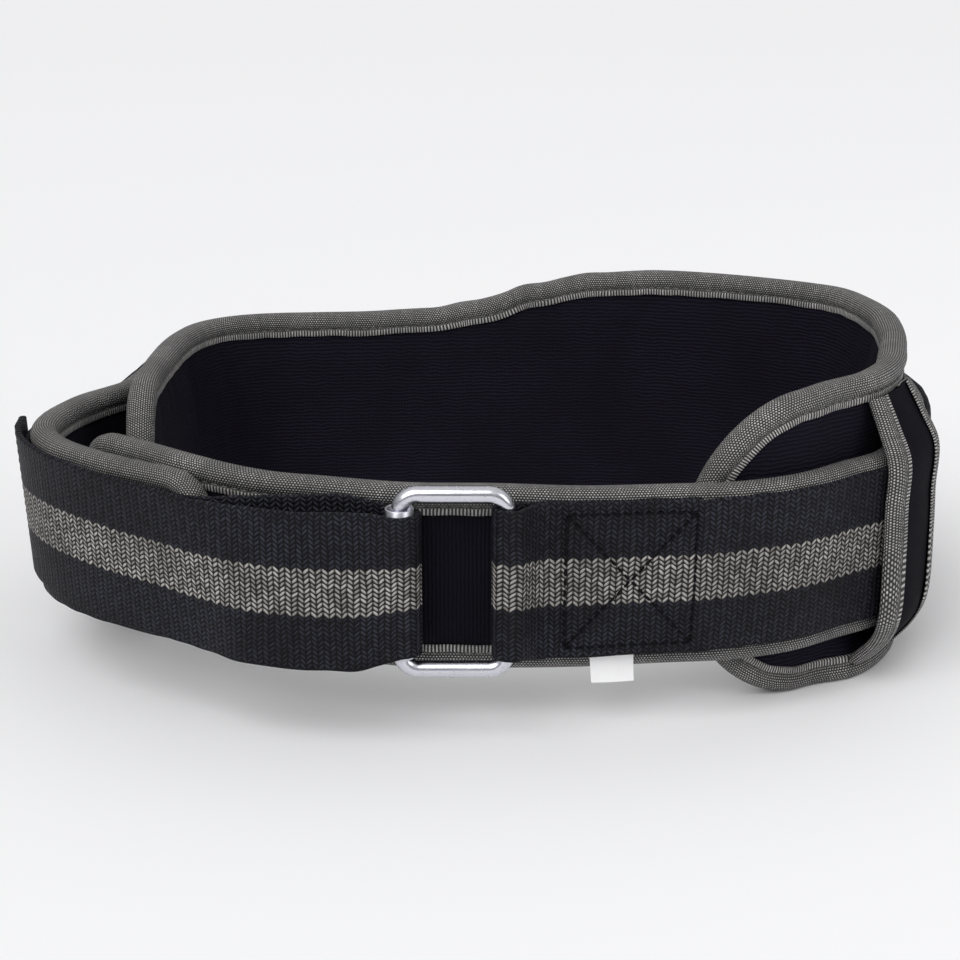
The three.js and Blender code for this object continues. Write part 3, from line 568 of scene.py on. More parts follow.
def settle_cloth(piece, outline, cap):
    """Lets the cloth of a padded panel settle over its foam by simulation. The cloth under the
    edge tape is held, and no point moves further than cap."""
    mesh = piece.data
    count = len(mesh.vertices)
    before = np.empty(count * 3, np.float32)
    mesh.vertices.foreach_get("co", before)
    flat = np.zeros((count, 2))
    uv = mesh.uv_layers["flat"].data
    for loop in mesh.loops:
        flat[loop.vertex_index] = uv[loop.index].uv
    held = np.nonzero(outline.depth_of(flat[:, 0], flat[:, 1]) < sizes().tape_reach)[0]
    group = piece.vertex_groups.new(name="held")
    group.add(held.tolist(), 1.0, "REPLACE")
    cloth = piece.modifiers.new("cloth", "CLOTH")
    settings = cloth.settings
    settings.quality = 5
    settings.mass = 0.2
    settings.tension_stiffness = 12
    settings.compression_stiffness = 12
    settings.shear_stiffness = 6
    settings.bending_stiffness = 0.4
    settings.shrink_min = -0.004
    settings.use_pressure = True
    settings.uniform_pressure_force = 4
    settings.vertex_group_mass = "held"
    settings.effector_weights.gravity = 0
    cloth.collision_settings.use_collision = False
    scene = bpy.context.scene
    for step in range(1, 21):
        scene.frame_set(step)
    settled = piece.evaluated_get(bpy.context.evaluated_depsgraph_get()).to_mesh()
    after = np.empty(count * 3, np.float32)
    settled.vertices.foreach_get("co", after)
    piece.evaluated_get(bpy.context.evaluated_depsgraph_get()).to_mesh_clear()
    piece.modifiers.remove(cloth)
    scene.frame_set(1)
    move = (after - before).reshape(-1, 3)
    far = np.linalg.norm(move, axis=1)[:, None]
    move *= np.minimum(1.0, cap / np.maximum(far, 1e-9))
    mesh.vertices.foreach_set("co", before + move.ravel())
    mesh.update()
    piece.vertex_groups.remove(group)
    smooth = piece.modifiers.new("smooth", "SUBSURF")
    smooth.levels = smooth.render_levels = 1


def tape_profile():
    """The tape's closed section: its outer side over the edge, then its inner side back."""
    outer = [(row.depth, row.height) for row in TAPE_ROWS]
    outer = outer + [(depth, -height) for depth, height in reversed(outer)]
    outer = smooth_line(outer, 2)
    inner = [(0.0084, -0.0031), (0.0060, -0.0030), (0.0030, -0.0030), (0.0014, -0.0022), (0.0009, -0.0008)]
    inner = inner + [(depth, -height) for depth, height in reversed(inner)]
    return np.vstack([outer, inner, outer[:1]])


def pucker(distance, seed):
    """Small cross folds of a tape, from -1 to 1, coming and going along it."""
    waves = np.sin(distance * 1450 + 3.1 * np.sin(distance * 190 + seed))
    waves = waves + 0.7 * np.sin(distance * 2330 + 2.2 * np.sin(distance * 260 + 2 * seed))
    strength = 0.5 + 0.5 * np.sin(distance * 61 + 1.9 * np.sin(distance * 23 + seed))
    return waves * strength ** 2 / 1.7


def edge_tape(outline, place, columns, crumpled=(0.0, 0.0)):
    """Tape folded over a panel's whole edge and sewn through, and crumpled between two distances."""
    profile = tape_profile()
    profile[:, 0] *= sizes().tape_reach / 0.0082
    steps = np.concatenate([[0.0], np.cumsum(np.linalg.norm(np.diff(profile, axis=0), axis=1))])
    count = len(profile) - 1

    def wrap(along, round_share):
        index = round_share * count
        depth = np.interp(index, np.arange(count + 1), profile[:, 0])
        out = np.interp(index, np.arange(count + 1), profile[:, 1])
        across = np.interp(index, np.arange(count + 1), steps)
        distance = along * outline.length
        outer = (index <= 4 * len(TAPE_ROWS)) * 1.0
        sag = 0.00016 * np.sin(distance * 113 + 2.0 * np.sin(distance * 31))
        sag = sag + 0.00012 * np.sin(distance * 377 + 1.5 * np.sin(distance * 87))
        depth = np.maximum(depth + sag * soft_step(depth, 0.003, 0.007), 0)
        roll = soft_step(depth, 0.0002, 0.0016) * (1 - soft_step(depth, 0.0042, 0.0056)) * outer
        out = out * (1 + 0.035 * np.sin(distance * 151 + 1.3 * np.sin(distance * 53)) * roll)
        inner_side = np.where(out < 0, 1.0, 0.55)
        out = out + np.sign(out) * 0.00017 * pucker(distance + 0.1 * (out < 0), 1.7) * roll * inner_side
        start, end = crumpled
        crumple = soft_step(distance, start, start + 0.02) * (1 - soft_step(distance, end - 0.02, end))
        out = out + 0.00042 * crumple * roll * np.sign(out) * np.sin(distance * 1380 + 2.4 * np.sin(distance * 230))
        run, height = outline.at(distance, depth)
        return place(run, height, out), np.stack([distance, across], axis=1)

    return cloth_grid(columns, count, wrap, close_rows=True, close_columns=True)


def stitch_row(count):
    """A straight row of stitches, one unit apart, each a thread of radius 1 with round ends."""
    shape = bmesh.new()
    place = Matrix.Translation((0.5, 0, 0)) @ Matrix.Diagonal((0.38, 1, 1, 1)) @ Matrix.Rotation(math.pi / 2, 4, "Y")
    bmesh.ops.create_uvsphere(shape, u_segments=6, v_segments=6, radius=1, matrix=place)
    mesh = bpy.data.meshes.new("stitch")
    shape.to_mesh(mesh)
    shape.free()
    stitch = bpy.data.objects.new("stitch", mesh)
    bpy.context.scene.collection.objects.link(stitch)
    row = stitch.modifiers.new("row", "ARRAY")
    row.count = count
    row.use_relative_offset = False
    row.use_constant_offset = True
    row.constant_offset_displace = (1, 0, 0)
    made = bpy.data.meshes.new_from_object(stitch.evaluated_get(bpy.context.evaluated_depsgraph_get()))
    bpy.data.objects.remove(stitch)
    bpy.data.meshes.remove(mesh)
    return made


def sew(shape, length, surface, pitch=None, thread=None):
    """Stitches along a seam. surface takes distances along the seam, offsets to its side and
    heights over the cloth, all in metres, and gives points."""
    pitch, radius = pitch or sizes().stitch_pitch, (thread or sizes().thread) / 2
    count = max(2, int(length / pitch))
    row = stitch_row(count)
    points = np.empty(len(row.vertices) * 3, np.float32)
    row.vertices.foreach_get("co", points)
    points = points.reshape(-1, 3)
    along = points[:, 0] % 1.0
    sink = 1.3 * radius * (2 * along - 1) ** 4
    moved = surface(points[:, 0] * length / count, points[:, 1] * radius, points[:, 2] * radius - sink)
    row.vertices.foreach_set("co", np.ascontiguousarray(moved, np.float32).ravel())
    shape.from_mesh(row)
    bpy.data.meshes.remove(row)


def tape_stitches(outline, place):
    """The two rows of stitches that hold an edge tape, one in each groove."""
    shape = bmesh.new()
    groove = 0.00575 * sizes().tape_reach / 0.0082
    for side in (1, -1):
        def surface(distance, beside, over, side=side):
            run, height = outline.at(distance, groove + side * beside)
            return place(run, height, side * (0.00392 + over))

        sew(shape, outline.length, surface)
    return shape


class Finish:
    """A material and short calls that make its nodes."""

    def __init__(self, name):
        self.material = bpy.data.materials.new(name)
        self.material.use_nodes = True
        self.tree = self.material.node_tree
        self.tree.nodes.clear()
        self.output = self.tree.nodes.new("ShaderNodeOutputMaterial")
        self.shader = self.tree.nodes.new("ShaderNodeBsdfPrincipled")
        self.tree.links.new(self.shader.outputs[0], self.output.inputs[0])

    def link(self, source, target):
        """Joins a socket to an input, or sets the input to a plain value."""
        if isinstance(source, bpy.types.NodeSocket):
            self.tree.links.new(source, target)
        else:
            target.default_value = source

    def math(self, operation, first, second=0.0, third=0.0, clamp=False):
        """One Math node."""
        node = self.tree.nodes.new("ShaderNodeMath")
        node.operation = operation
        node.use_clamp = clamp
        for value, target in zip((first, second, third), node.inputs):
            self.link(value, target)
        return node.outputs[0]

    def mix(self, factor, first, second):
        """One colour between two by a factor."""
        node = self.tree.nodes.new("ShaderNodeMix")
        node.data_type = "RGBA"
        self.link(factor, node.inputs["Factor"])
        for value, target in ((first, node.inputs[6]), (second, node.inputs[7])):
            self.link(value if isinstance(value, bpy.types.NodeSocket) else (*value, 1.0), target)
        return node.outputs[2]

    def flat(self):
        """The cloth's own coordinates in metres: along it and across it."""
        coordinates = self.tree.nodes.new("ShaderNodeUVMap")
        coordinates.uv_map = "flat"
        split = self.tree.nodes.new("ShaderNodeSeparateXYZ")
        self.tree.links.new(coordinates.outputs[0], split.inputs[0])
        return split.outputs[0], split.outputs[1]

    def noise(self, scale, detail=2.0, space="Object"):
        """Noise on the piece's own coordinates."""
        node = self.tree.nodes.new("ShaderNodeTexNoise")
        node.inputs["Scale"].default_value = scale
        node.inputs["Detail"].default_value = detail
        coordinates = self.tree.nodes.new("ShaderNodeTexCoord")
        self.tree.links.new(coordinates.outputs[space], node.inputs["Vector"])
        return node.outputs["Fac"]

    def cell(self, first, second):
        """A steady chance value from 0 to 1 for each cell of two whole numbers."""
        join = self.tree.nodes.new("ShaderNodeCombineXYZ")
        self.link(first, join.inputs[0])
        self.link(second, join.inputs[1])
        node = self.tree.nodes.new("ShaderNodeTexWhiteNoise")
        node.noise_dimensions = "2D"
        self.tree.links.new(join.outputs[0], node.inputs["Vector"])
        return node.outputs["Value"]

    def wave(self, value, pitch, shift=0.0):
        """A cosine wave from 0 to 1 with this pitch."""
        turn = self.math("MULTIPLY_ADD", value, 2 * math.pi / pitch, shift)
        return self.math("MULTIPLY_ADD", self.math("COSINE", turn), 0.5, 0.5)

    def remap(self, value, low, high, to_low=0.0, to_high=1.0):
        """A smooth step from one range to another."""
        node = self.tree.nodes.new("ShaderNodeMapRange")
        node.interpolation_type = "SMOOTHSTEP"
        self.link(value, node.inputs["Value"])
        for key, number in (("From Min", low), ("From Max", high), ("To Min", to_low), ("To Max", to_high)):
            node.inputs[key].default_value = number
        return node.outputs[0]

    def bump(self, height, distance, strength=1.0):
        """Relief on the surface from a height between 0 and 1."""
        node = self.tree.nodes.new("ShaderNodeBump")
        node.inputs["Strength"].default_value = strength
        node.inputs["Distance"].default_value = distance
        self.link(height, node.inputs["Height"])
        self.tree.links.new(node.outputs[0], self.shader.inputs["Normal"])

    def cloth(self, colour, roughness, sheen, gloss=0.3):
        """Sets the colour and the soft look of cloth."""
        self.link(colour, self.shader.inputs["Base Color"])
        self.shader.inputs["Roughness"].default_value = roughness
        self.shader.inputs["Sheen Weight"].default_value = sheen
        self.shader.inputs["Sheen Roughness"].default_value = 0.4
        self.shader.inputs["Specular IOR Level"].default_value = gloss


def scaled(colour, factor):
    """A colour made darker or paler."""
    return tuple(min(1.0, channel * factor) for channel in colour)


def ribbed_cloth(name, colour, pitch, upright):
    """Fine ribbed cloth, its ribs along the run or upright, with painted shade in the gaps between ribs."""
    finish = Finish(name)
    along, across = finish.flat()
    swing = pitch * (0.6 if upright else 1.4)
    sway = finish.math("MULTIPLY", finish.math("SUBTRACT", finish.noise(230, 2.0), 0.5), swing)
    ribs_run = finish.math("ADD", along if upright else across, sway)
    ribs = finish.wave(ribs_run, pitch)
    beads = finish.wave(across if upright else along, pitch * 0.8)
    grain = finish.noise(2600, 2.0)
    height = finish.math("MULTIPLY_ADD", beads, 0.25, finish.math("MULTIPLY_ADD", grain, 0.45, ribs))
    patches = finish.remap(finish.noise(28, 3.0), 0.3, 0.7)
    shade = finish.mix(patches, scaled(colour, 0.72), scaled(colour, 1.18))
    # Painted shade: the colour falls to 0.4 of itself where the rib relief is low, between the ribs.
    lit = finish.remap(height, 0.45, 1.35)
    finish.cloth(finish.mix(lit, scaled(colour, 0.4), shade), 0.9, 0.0, 0.12)
    finish.bump(height, 0.00022, 0.7)
    return finish.material


def tape_cloth(name, profile):
    """Woven tape: fine basket weave on the roll, a sewn groove and cross ribs on the selvedge, with painted shade in
    the weave's pits and in the groove.
    """
    colour = tuple(colours().tape)
    finish = Finish(name)
    along, across = finish.flat()
    steps = np.concatenate([[0.0], np.cumsum(np.linalg.norm(np.diff(profile, axis=0), axis=1))])
    middle = float(steps[2 * len(TAPE_ROWS) - 1])
    groove_at = middle - float(np.interp(8, np.arange(len(steps)), steps))
    from_middle = finish.math("ABSOLUTE", finish.math("SUBTRACT", across, middle))
    selvedge = finish.remap(from_middle, groove_at + 0.0003, groove_at + 0.0005)
    groove = finish.math("SUBTRACT", finish.remap(from_middle, groove_at - 0.0007, groove_at - 0.0001), selvedge)
    yarn, pick = 0.00078, 0.00092
    drift = finish.math("MULTIPLY_ADD", finish.noise(210, 1.0), 0.0006, along)
    row = finish.math("FLOOR", finish.math("DIVIDE", across, yarn))
    shifted = finish.math("DIVIDE", finish.math("MULTIPLY_ADD", row, pick * 0.5, drift), pick)
    knots = finish.math("MULTIPLY", finish.wave(shifted, 1.0, math.pi), finish.wave(across, yarn, math.pi))
    knots = finish.math("POWER", knots, 0.8)
    rib = finish.math("DIVIDE", drift, 0.00106)
    ribs = finish.math("POWER", finish.wave(rib, 1.0, math.pi), 1.3)
    chance = finish.cell(finish.math("FLOOR", shifted), row)
    rib_chance = finish.cell(finish.math("FLOOR", rib), 3.0)
    height = finish.math("ADD", finish.math("MULTIPLY", knots, finish.math("SUBTRACT", 1.0, selvedge)),
                         finish.math("MULTIPLY", ribs, selvedge))
    relief = finish.math("MULTIPLY_ADD", finish.noise(3200, 1.0), 0.16, height)
    patches = finish.remap(finish.noise(45, 3.0), 0.25, 0.75)
    yarn_colour = finish.mix(patches, scaled(colour, 0.76), scaled(colour, 1.2))
    uneven = finish.math("MULTIPLY_ADD", finish.math("MULTIPLY", chance, rib_chance), 0.5, 0.62)
    # Painted shade: the tape's colour falls to 0.05 of itself in the pits between knots; the knots keep the yarn
    # colour.
    lit = finish.math("MULTIPLY", finish.remap(relief, 0.3, 0.86), uneven)
    shade = finish.mix(lit, scaled(colour, 0.05), yarn_colour)
    # Painted shade in the sewn groove: its colour is pulled toward 0.1 of the tape's.
    shade = finish.mix(finish.math("MULTIPLY", groove, 0.75), shade, scaled(colour, 0.1))
    finish.cloth(shade, 0.6, 0.03, 0.25)
    finish.bump(relief, 0.0003, 0.8)
    return finish.material


def strap_cloth(hem_start):
    """Webbing in a zigzag weave, dark with a pale stripe along its middle, and darker on its hem."""
    dark, pale = tuple(colours().strap), tuple(colours().stripe)
    finish = Finish("strap_weave")
    along, across = finish.flat()
    column, row = 0.0036, 0.00152
    sway = finish.math("MULTIPLY_ADD", finish.noise(90, 2.0), 0.0012, -0.0006)
    share = finish.math("DIVIDE", finish.math("ADD", along, sway), column)
    zigzag = finish.math("PINGPONG", share, 0.5)
    lifted = finish.math("DIVIDE", finish.math("MULTIPLY_ADD", sway, 0.5, across), row)
    level = finish.math("MULTIPLY_ADD", zigzag, 1.85, lifted)
    index = finish.math("FLOOR", finish.math("ADD", level, 0.5))
    half_share = finish.math("MULTIPLY", share, 2.0)
    strand = finish.math("POWER", finish.wave(level, 1.0), 0.65)
    middle = finish.math("POWER", finish.wave(half_share, 1.0, math.pi), 0.6)
    height = finish.math("MULTIPLY", strand, finish.math("MULTIPLY_ADD", middle, 0.8, 0.2))
    chance = finish.cell(finish.math("FLOOR", half_share), index)
    fibres = finish.noise(1500, 2.0)
    relief = finish.math("MULTIPLY_ADD", fibres, 0.22, finish.math("MULTIPLY_ADD", chance, 0.12, height))
    offset = finish.math("ABSOLUTE", finish.math("MULTIPLY_ADD", index, row, -0.00055))
    stripe = finish.math("LESS_THAN", offset, sizes().stripe_width / 2)
    patches = finish.remap(finish.noise(38, 3.0), 0.25, 0.75)
    dark_yarn = finish.mix(patches, scaled(dark, 0.6), scaled(dark, 1.2))
    pale_yarn = finish.mix(patches, scaled(pale, 0.72), scaled(pale, 1.1))
    uneven = finish.math("MULTIPLY_ADD", chance, 0.55, 0.5)
    # Over the hem the yarn's share of the colour is halved, so the weave shows darker there.
    hem_darker = finish.math("MULTIPLY_ADD", finish.math("GREATER_THAN", along, hem_start), -0.5, 1.0)
    uneven = finish.math("MULTIPLY", uneven, hem_darker)
    # Painted shade: between the strands the colour falls to a small share of the yarn's; the strands' tops keep the
    # yarn colour.
    lit = finish.math("MULTIPLY", finish.remap(relief, 0.3, 0.95), uneven)
    dark_shade = finish.mix(lit, scaled(dark, 0.08), dark_yarn)
    pale_shade = finish.mix(lit, scaled(pale, 0.025), pale_yarn)
    finish.cloth(finish.mix(stripe, dark_shade, pale_shade), 0.55, 0.0, 0.14)
    finish.bump(relief, 0.0005, 0.9)
    return finish.material


def smooth_cloth(name, colour, roughness, pitch, depth, gloss):
    """Close plain cloth with a faint weave and painted shade in its gaps, darker by a share, depth."""
    finish = Finish(name)
    along, across = finish.flat()
    knots = finish.math("MULTIPLY", finish.wave(along, pitch), finish.wave(across, pitch))
    grain = finish.noise(1800, 3.0)
    height = finish.math("MULTIPLY_ADD", grain, 0.6, knots)
    patches = finish.remap(finish.noise(60, 3.0), 0.25, 0.75)
    shade = finish.mix(patches, scaled(colour, 1 - depth), scaled(colour, 1.1))
    # Painted shade: where the weave's relief is low the colour is darkened by depth.
    finish.cloth(finish.mix(finish.remap(height, 0.1, 1.2), scaled(colour, 1 - depth), shade), roughness, 0.0, gloss)
    finish.bump(height, 0.0001, 0.5)
    return finish.material


def thread_finish(name, colour):
    """Twisted sewing thread."""
    finish = Finish(name)
    shade = finish.mix(finish.remap(finish.noise(900, 2.0), 0.3, 0.7), scaled(colour, 0.6), scaled(colour, 1.2))
    finish.cloth(shade, 0.7, 0.0, 0.1)
    finish.bump(finish.noise(5000, 2.0), 0.0001, 0.5)
    return finish.material


def steel_finish(name, colour, roughness):
    """Polished steel with fine draw marks and a few dull specks."""
    finish = Finish(name)
    specks = finish.remap(finish.noise(900, 3.0), 0.55, 0.75)
    cloud = finish.remap(finish.noise(70, 3.0), 0.3, 0.7)
    shade = finish.mix(finish.math("MULTIPLY", specks, 0.35), colour, scaled(colour, 0.55))
    finish.link(shade, finish.shader.inputs["Base Color"])
    finish.shader.inputs["Metallic"].default_value = 1.0
    rough = finish.math("MULTIPLY_ADD", cloud, 0.10, roughness)
    finish.link(finish.math("MULTIPLY_ADD", specks, 0.12, rough), finish.shader.inputs["Roughness"])
    finish.bump(finish.noise(420, 4.0), 0.00012, 0.35)
    return finish.material


def make_back_pad():
    """The pad's foam panel under its ribbed lining."""
    line = pad_line(belt_line())
    outline = pad_outline(line.length)

    def place(run, height, out):
        return place_on_pad(line, run, height, out)

    shape = padded_panel(outline, place, line.length, 190, 96, 1.3)
    finish = ribbed_cloth("ribbed_lining", tuple(colours().lining), 0.00135, False)
    piece = finish_piece("pad_panel", shape, finish, ["back_pad"])
    settle_cloth(piece, outline, 0.0007)


def make_narrow_belt():
    """The narrow belt's foam panel under its ribbed cloth."""
    line = belt_line()
    outline = belt_outline(line.length)

    def place(run, height, out):
        return place_on_belt(line, run, height, out)

    shape = padded_panel(outline, place, line.length, 290, 60, 2.9)
    finish = ribbed_cloth("ribbed_cover", tuple(colours().belt_cloth), 0.0012, True)
    piece = finish_piece("belt_panel", shape, finish, ["belt_body"])
    settle_cloth(piece, outline, 0.0004)


def make_edge_tapes():
    """The tapes sewn over the edges of the pad and of the narrow belt, with their stitches."""
    belt = belt_line()
    pad = pad_line(belt)
    cloth = tape_cloth("tape_weave", tape_profile())
    thread = thread_finish("tape_thread", scaled(tuple(colours().tape), 0.35))
    panels = (
        ("pad_tape", pad_outline(pad.length), lambda r, h, o: place_on_pad(pad, r, h, o), 1500, (-1.0, -0.9), "pad_binding"),
        ("belt_tape", belt_outline(belt.length), lambda r, h, o: place_on_belt(belt, r, h, o), 1600,
         (belt.length - 0.2, belt.length - 0.08), "belt_binding"),
    )
    for name, outline, place, columns, crumpled, node in panels:
        finish_piece(name, edge_tape(outline, place, columns, crumpled), cloth, [node])
        finish_piece(name + "_stitches", tape_stitches(outline, place), thread)


class Webbing:
    """The strap's whole way, from its sewn lap to the tail's free end."""

    def __init__(self):
        size = sizes()
        belt = belt_line()
        middle_x, middle_y = loop_middle()
        half_width, half_depth = size.loop_width / 2, size.loop_depth / 2
        low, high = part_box("buckle_ring")
        roller_low, roller_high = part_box("buckle_roller")
        self.lift = size.belt_lift + size.belt_height / 30
        turn_lift = (low.z + high.z) / 2 - self.lift
        ring_y = (low.y + high.y) / 2
        wire = (high.y - low.y) / 2
        bar_x = high.x - wire
        roller_x = (roller_low.x + roller_high.x) / 2
        bar_radius = wire + SEAT_GAP + size.strap_thickness / 2
        turn_radius = (roller_high.x - roller_low.x) / 2 + SEAT_GAP + size.strap_thickness / 2
        single = size.pad_thickness / 2 + 0.0006 + size.strap_thickness / 2
        double = single + size.strap_thickness + SEAT_GAP
        rows = []

        def on_belt(run, out, rise, squeeze=1.0, slant=0.0):
            x, y = belt.beside(run, out)
            lean = float(belt.value(run, "lean"))
            normal_x = float(np.interp(run, belt.run, belt.normal[:, 0]))
            normal_y = float(np.interp(run, belt.run, belt.normal[:, 1]))
            pivot = size.belt_lift + float(belt.value(run, "lift"))
            rows.append([float(x), float(y), rise, normal_x * lean, normal_y * lean, pivot, squeeze, slant])

        def free(x, y, rise, squeeze=1.0):
            rows.append([x, y, rise, 0.0, 0.0, self.lift, squeeze, 0.0])

        x = (belt.points[:, 0] - middle_x) / half_width
        y = (belt.points[:, 1] - middle_y) / half_depth
        front = (y < -0.7) & (x > 0.075) & (belt.run < belt.length / 2)
        near = float(belt.run[np.argmax(front)])
        far = float(belt.run[np.argmax(front & (x > 0.40))])
        for run in np.linspace(far, near, 5):
            on_belt(run, single, 0.0)
        beside = bar_x + wire + SEAT_GAP
        free(beside, ring_y + bar_radius, turn_lift, 0.93)
        for angle in np.linspace(0, math.pi, 7):
            free(bar_x - bar_radius * math.sin(angle), ring_y + bar_radius * math.cos(angle), turn_lift, 0.93)
        free(beside, ring_y - bar_radius, turn_lift, 0.93)
        for run in np.linspace(near, far, 5):
            on_belt(run, double, 0.0)
        for run in np.linspace(far + 0.016, belt.length, 56):
            on_belt(run, single, 0.0)
        for row, point in zip(INNER_RUN_ROWS, plan_points(INNER_RUN_ROWS)):
            free(point[0], point[1], row.lift * size.strap_width)
        for angle in np.linspace(0, math.pi, 7):
            free(roller_x + turn_radius * math.sin(angle), ring_y + turn_radius * math.cos(angle), turn_lift, 0.87)
        for row, point in zip(TAIL_RUN_ROWS, plan_points(TAIL_RUN_ROWS)):
            free(point[0], point[1], row.lift * size.strap_width, 0.975)
        for reach in np.linspace(0, 1, 7):
            rise = float(from_rows(TAIL_RISE_ROWS, "reach", np.array(reach), "rise")) * size.strap_width
            slant = float(from_rows(TAIL_RISE_ROWS, "reach", np.array(reach), "slant"))
            on_belt(belt.length - reach * size.tail_length, double + SEAT_GAP, rise, 0.975, slant)
        dense = smooth_line(np.array(rows), 14)
        keys = ("rise", "out_x", "out_y", "pivot", "squeeze", "slant")
        self.line = PlanLine(dense, {key: dense[:, 2 + i] for i, key in enumerate(keys)})
        self.length = self.line.length
        self.tail_start = size.tail_length + 0.02

    def place(self, run, across, out):
        """Points on the strap: run along it, across from its middle upward, out from its middle surface."""
        line = self.line
        x, y = line.beside(run, out)
        middle = self.lift + line.value(run, "rise")
        height = across * line.value(run, "squeeze")
        tail = soft_step(run, self.length - self.tail_start, self.length - self.tail_start + 0.02)
        corner = soft_step(run, self.length - 0.05, self.length + 0.004)
        height = height * (1 + (0.02 * tail - 0.14 * corner) * (across < 0))
        lean = middle + height - line.value(run, "pivot")
        back = -line.value(run, "slant") * height
        normal_x = np.interp(run, line.run, line.normal[:, 0])
        normal_y = np.interp(run, line.run, line.normal[:, 1])
        x = x + line.value(run, "out_x") * lean - normal_y * back
        y = y + line.value(run, "out_y") * lean + normal_x * back
        return np.stack([x, y, middle + height], axis=-1)


def make_strap():
    """The webbing strap with its hemmed tail, and the boxed cross and hem stitches."""
    strap = Webbing()
    half_width, half = sizes().strap_width / 2, sizes().strap_thickness / 2
    hem = 0.011
    section = [(-1, -0.5), (-1, 0.5), (-0.985, 1), (0.985, 1), (1, 0.5), (1, -0.5), (0.985, -1), (-0.985, -1), (-1, -0.5)]
    section = np.array([(a * half_width, b * half) for a, b in section])
    lengths = np.linalg.norm(np.diff(section, axis=0), axis=1)
    counts = [2, 2, 30, 2, 2, 2, 30, 2]
    shares = [section[0]]
    for i, count in enumerate(counts):
        for step in range(1, count + 1):
            shares.append(section[i] + (section[i + 1] - section[i]) * step / count)
    ring = np.array(shares)
    total = len(ring) - 1

    def wrap(along, round_share):
        index = round_share * total
        across = np.interp(index, np.arange(total + 1), ring[:, 0])
        out = np.interp(index, np.arange(total + 1), ring[:, 1])
        run = along * strap.length
        from_end = strap.length - run
        out = np.where(out > 0, out, out * (1 + 0.7 * (1 - soft_step(from_end, hem - 0.001, hem + 0.0004))))
        edge_wave = 0.00012 * np.sin(run * 420 + 2 * np.sin(run * 90)) * (np.abs(across) > half_width * 0.98)
        return strap.place(run, across + edge_wave, out), np.stack([run, across], axis=1)

    shape = cloth_grid(1150, total, wrap, close_rows=True, cap=True)
    piece = finish_piece("strap", shape, strap_cloth(strap.length - hem), ["webbing"])

    shape = bmesh.new()

    def seam(from_run, from_across, to_run, to_across, out, thread):
        length = math.hypot(to_run - from_run, to_across - from_across)
        along, up = (to_run - from_run) / length, (to_across - from_across) / length
        side = math.copysign(1.0, out)

        def surface(distance, beside, over):
            run = from_run + along * distance - side * up * beside
            across = from_across + up * distance + side * along * beside
            return strap.place(run, across, out + side * over)

        sew(shape, length, surface, 0.0031, thread)

    x_of = strap.line.points[:, 0]
    outer = strap.line.run > 0.06
    first = float(strap.line.run[outer][np.argmax(x_of[outer] > 0.0205)])
    last = first + 0.0385
    for a, b in (((first, -0.0215), (last, -0.0215)), ((first, 0.0215), (last, 0.0215)),
                 ((first, -0.0215), (first, 0.0215)), ((last, -0.0215), (last, 0.0215)),
                 ((first, -0.0215), (last, 0.0215)), ((first, 0.0215), (last, -0.0215))):
        seam(a[0], a[1], b[0], b[1], half * 1.25, sizes().strap_thread)
    tail = strap.length - hem
    seam(tail, -0.0235, tail, 0.0235, half, sizes().thread)
    seam(tail + 0.0015, -0.0235, tail + 0.0015, 0.0235, -half * 1.72, sizes().thread)
    finish_piece("strap_stitches", shape, thread_finish("strap_thread", scaled(tuple(colours().strap), 0.12)))
    return piece


def keeper_rows(pad, run):
    """The keeper's middle line at one run: heights and distances out from the pad's middle."""
    size = sizes()
    tape = 0.001
    half = size.pad_thickness / 2
    inset = size.pad_thickness + SEAT_GAP
    face = half + 2 * SEAT_GAP + tape + size.keeper_thickness / 2
    over = inset + half + size.strap_thickness + 5 * SEAT_GAP + tape + size.keeper_thickness / 2
    reach = np.array(run / pad.length)
    top = float(from_rows(PAD_ROWS, "reach", reach, "top")) * size.pad_height - size.tape_reach + 0.0010
    foot = size.tape_reach - 0.0010
    belt_top = size.belt_lift + size.belt_height / 2 + 0.001
    belt_foot = size.belt_lift - size.belt_height / 2 - 0.001
    strap_middle = size.belt_lift + size.belt_height / 30
    strap_top = strap_middle + size.strap_width / 2
    strap_foot = strap_middle - size.strap_width / 2
    lean = float(pad.value(run, "lean"))

    def tip(height):
        high = max(0.0, (height - belt_top) / (size.pad_height - belt_top))
        low = max(0.0, (belt_foot - height) / belt_foot)
        flare = float(from_rows(PAD_ROWS, "reach", reach, "flare_top")) * high
        flare += float(from_rows(PAD_ROWS, "reach", reach, "flare_foot")) * low
        return lean * (height - size.belt_lift) + flare * size.pad_height

    def on_pad(height, share):
        flat = face + tip(height)
        return max(flat, flat + (over + lean * (height - size.belt_lift) - flat) * share)

    return [
        (foot, on_pad(foot, 0) - 0.0008),
        (belt_foot - 0.001, over - size.strap_thickness - 0.001),
        (strap_foot - 0.001, over),
        (size.belt_lift, over + 0.0004),
        ((size.belt_lift + strap_top) / 2, over),
        (strap_top + 0.001, over),
        ((strap_top + top) / 2, (over + on_pad(top, 0)) / 2 + 0.0002),
        (top, on_pad(top, 0) - 0.0008),
    ]


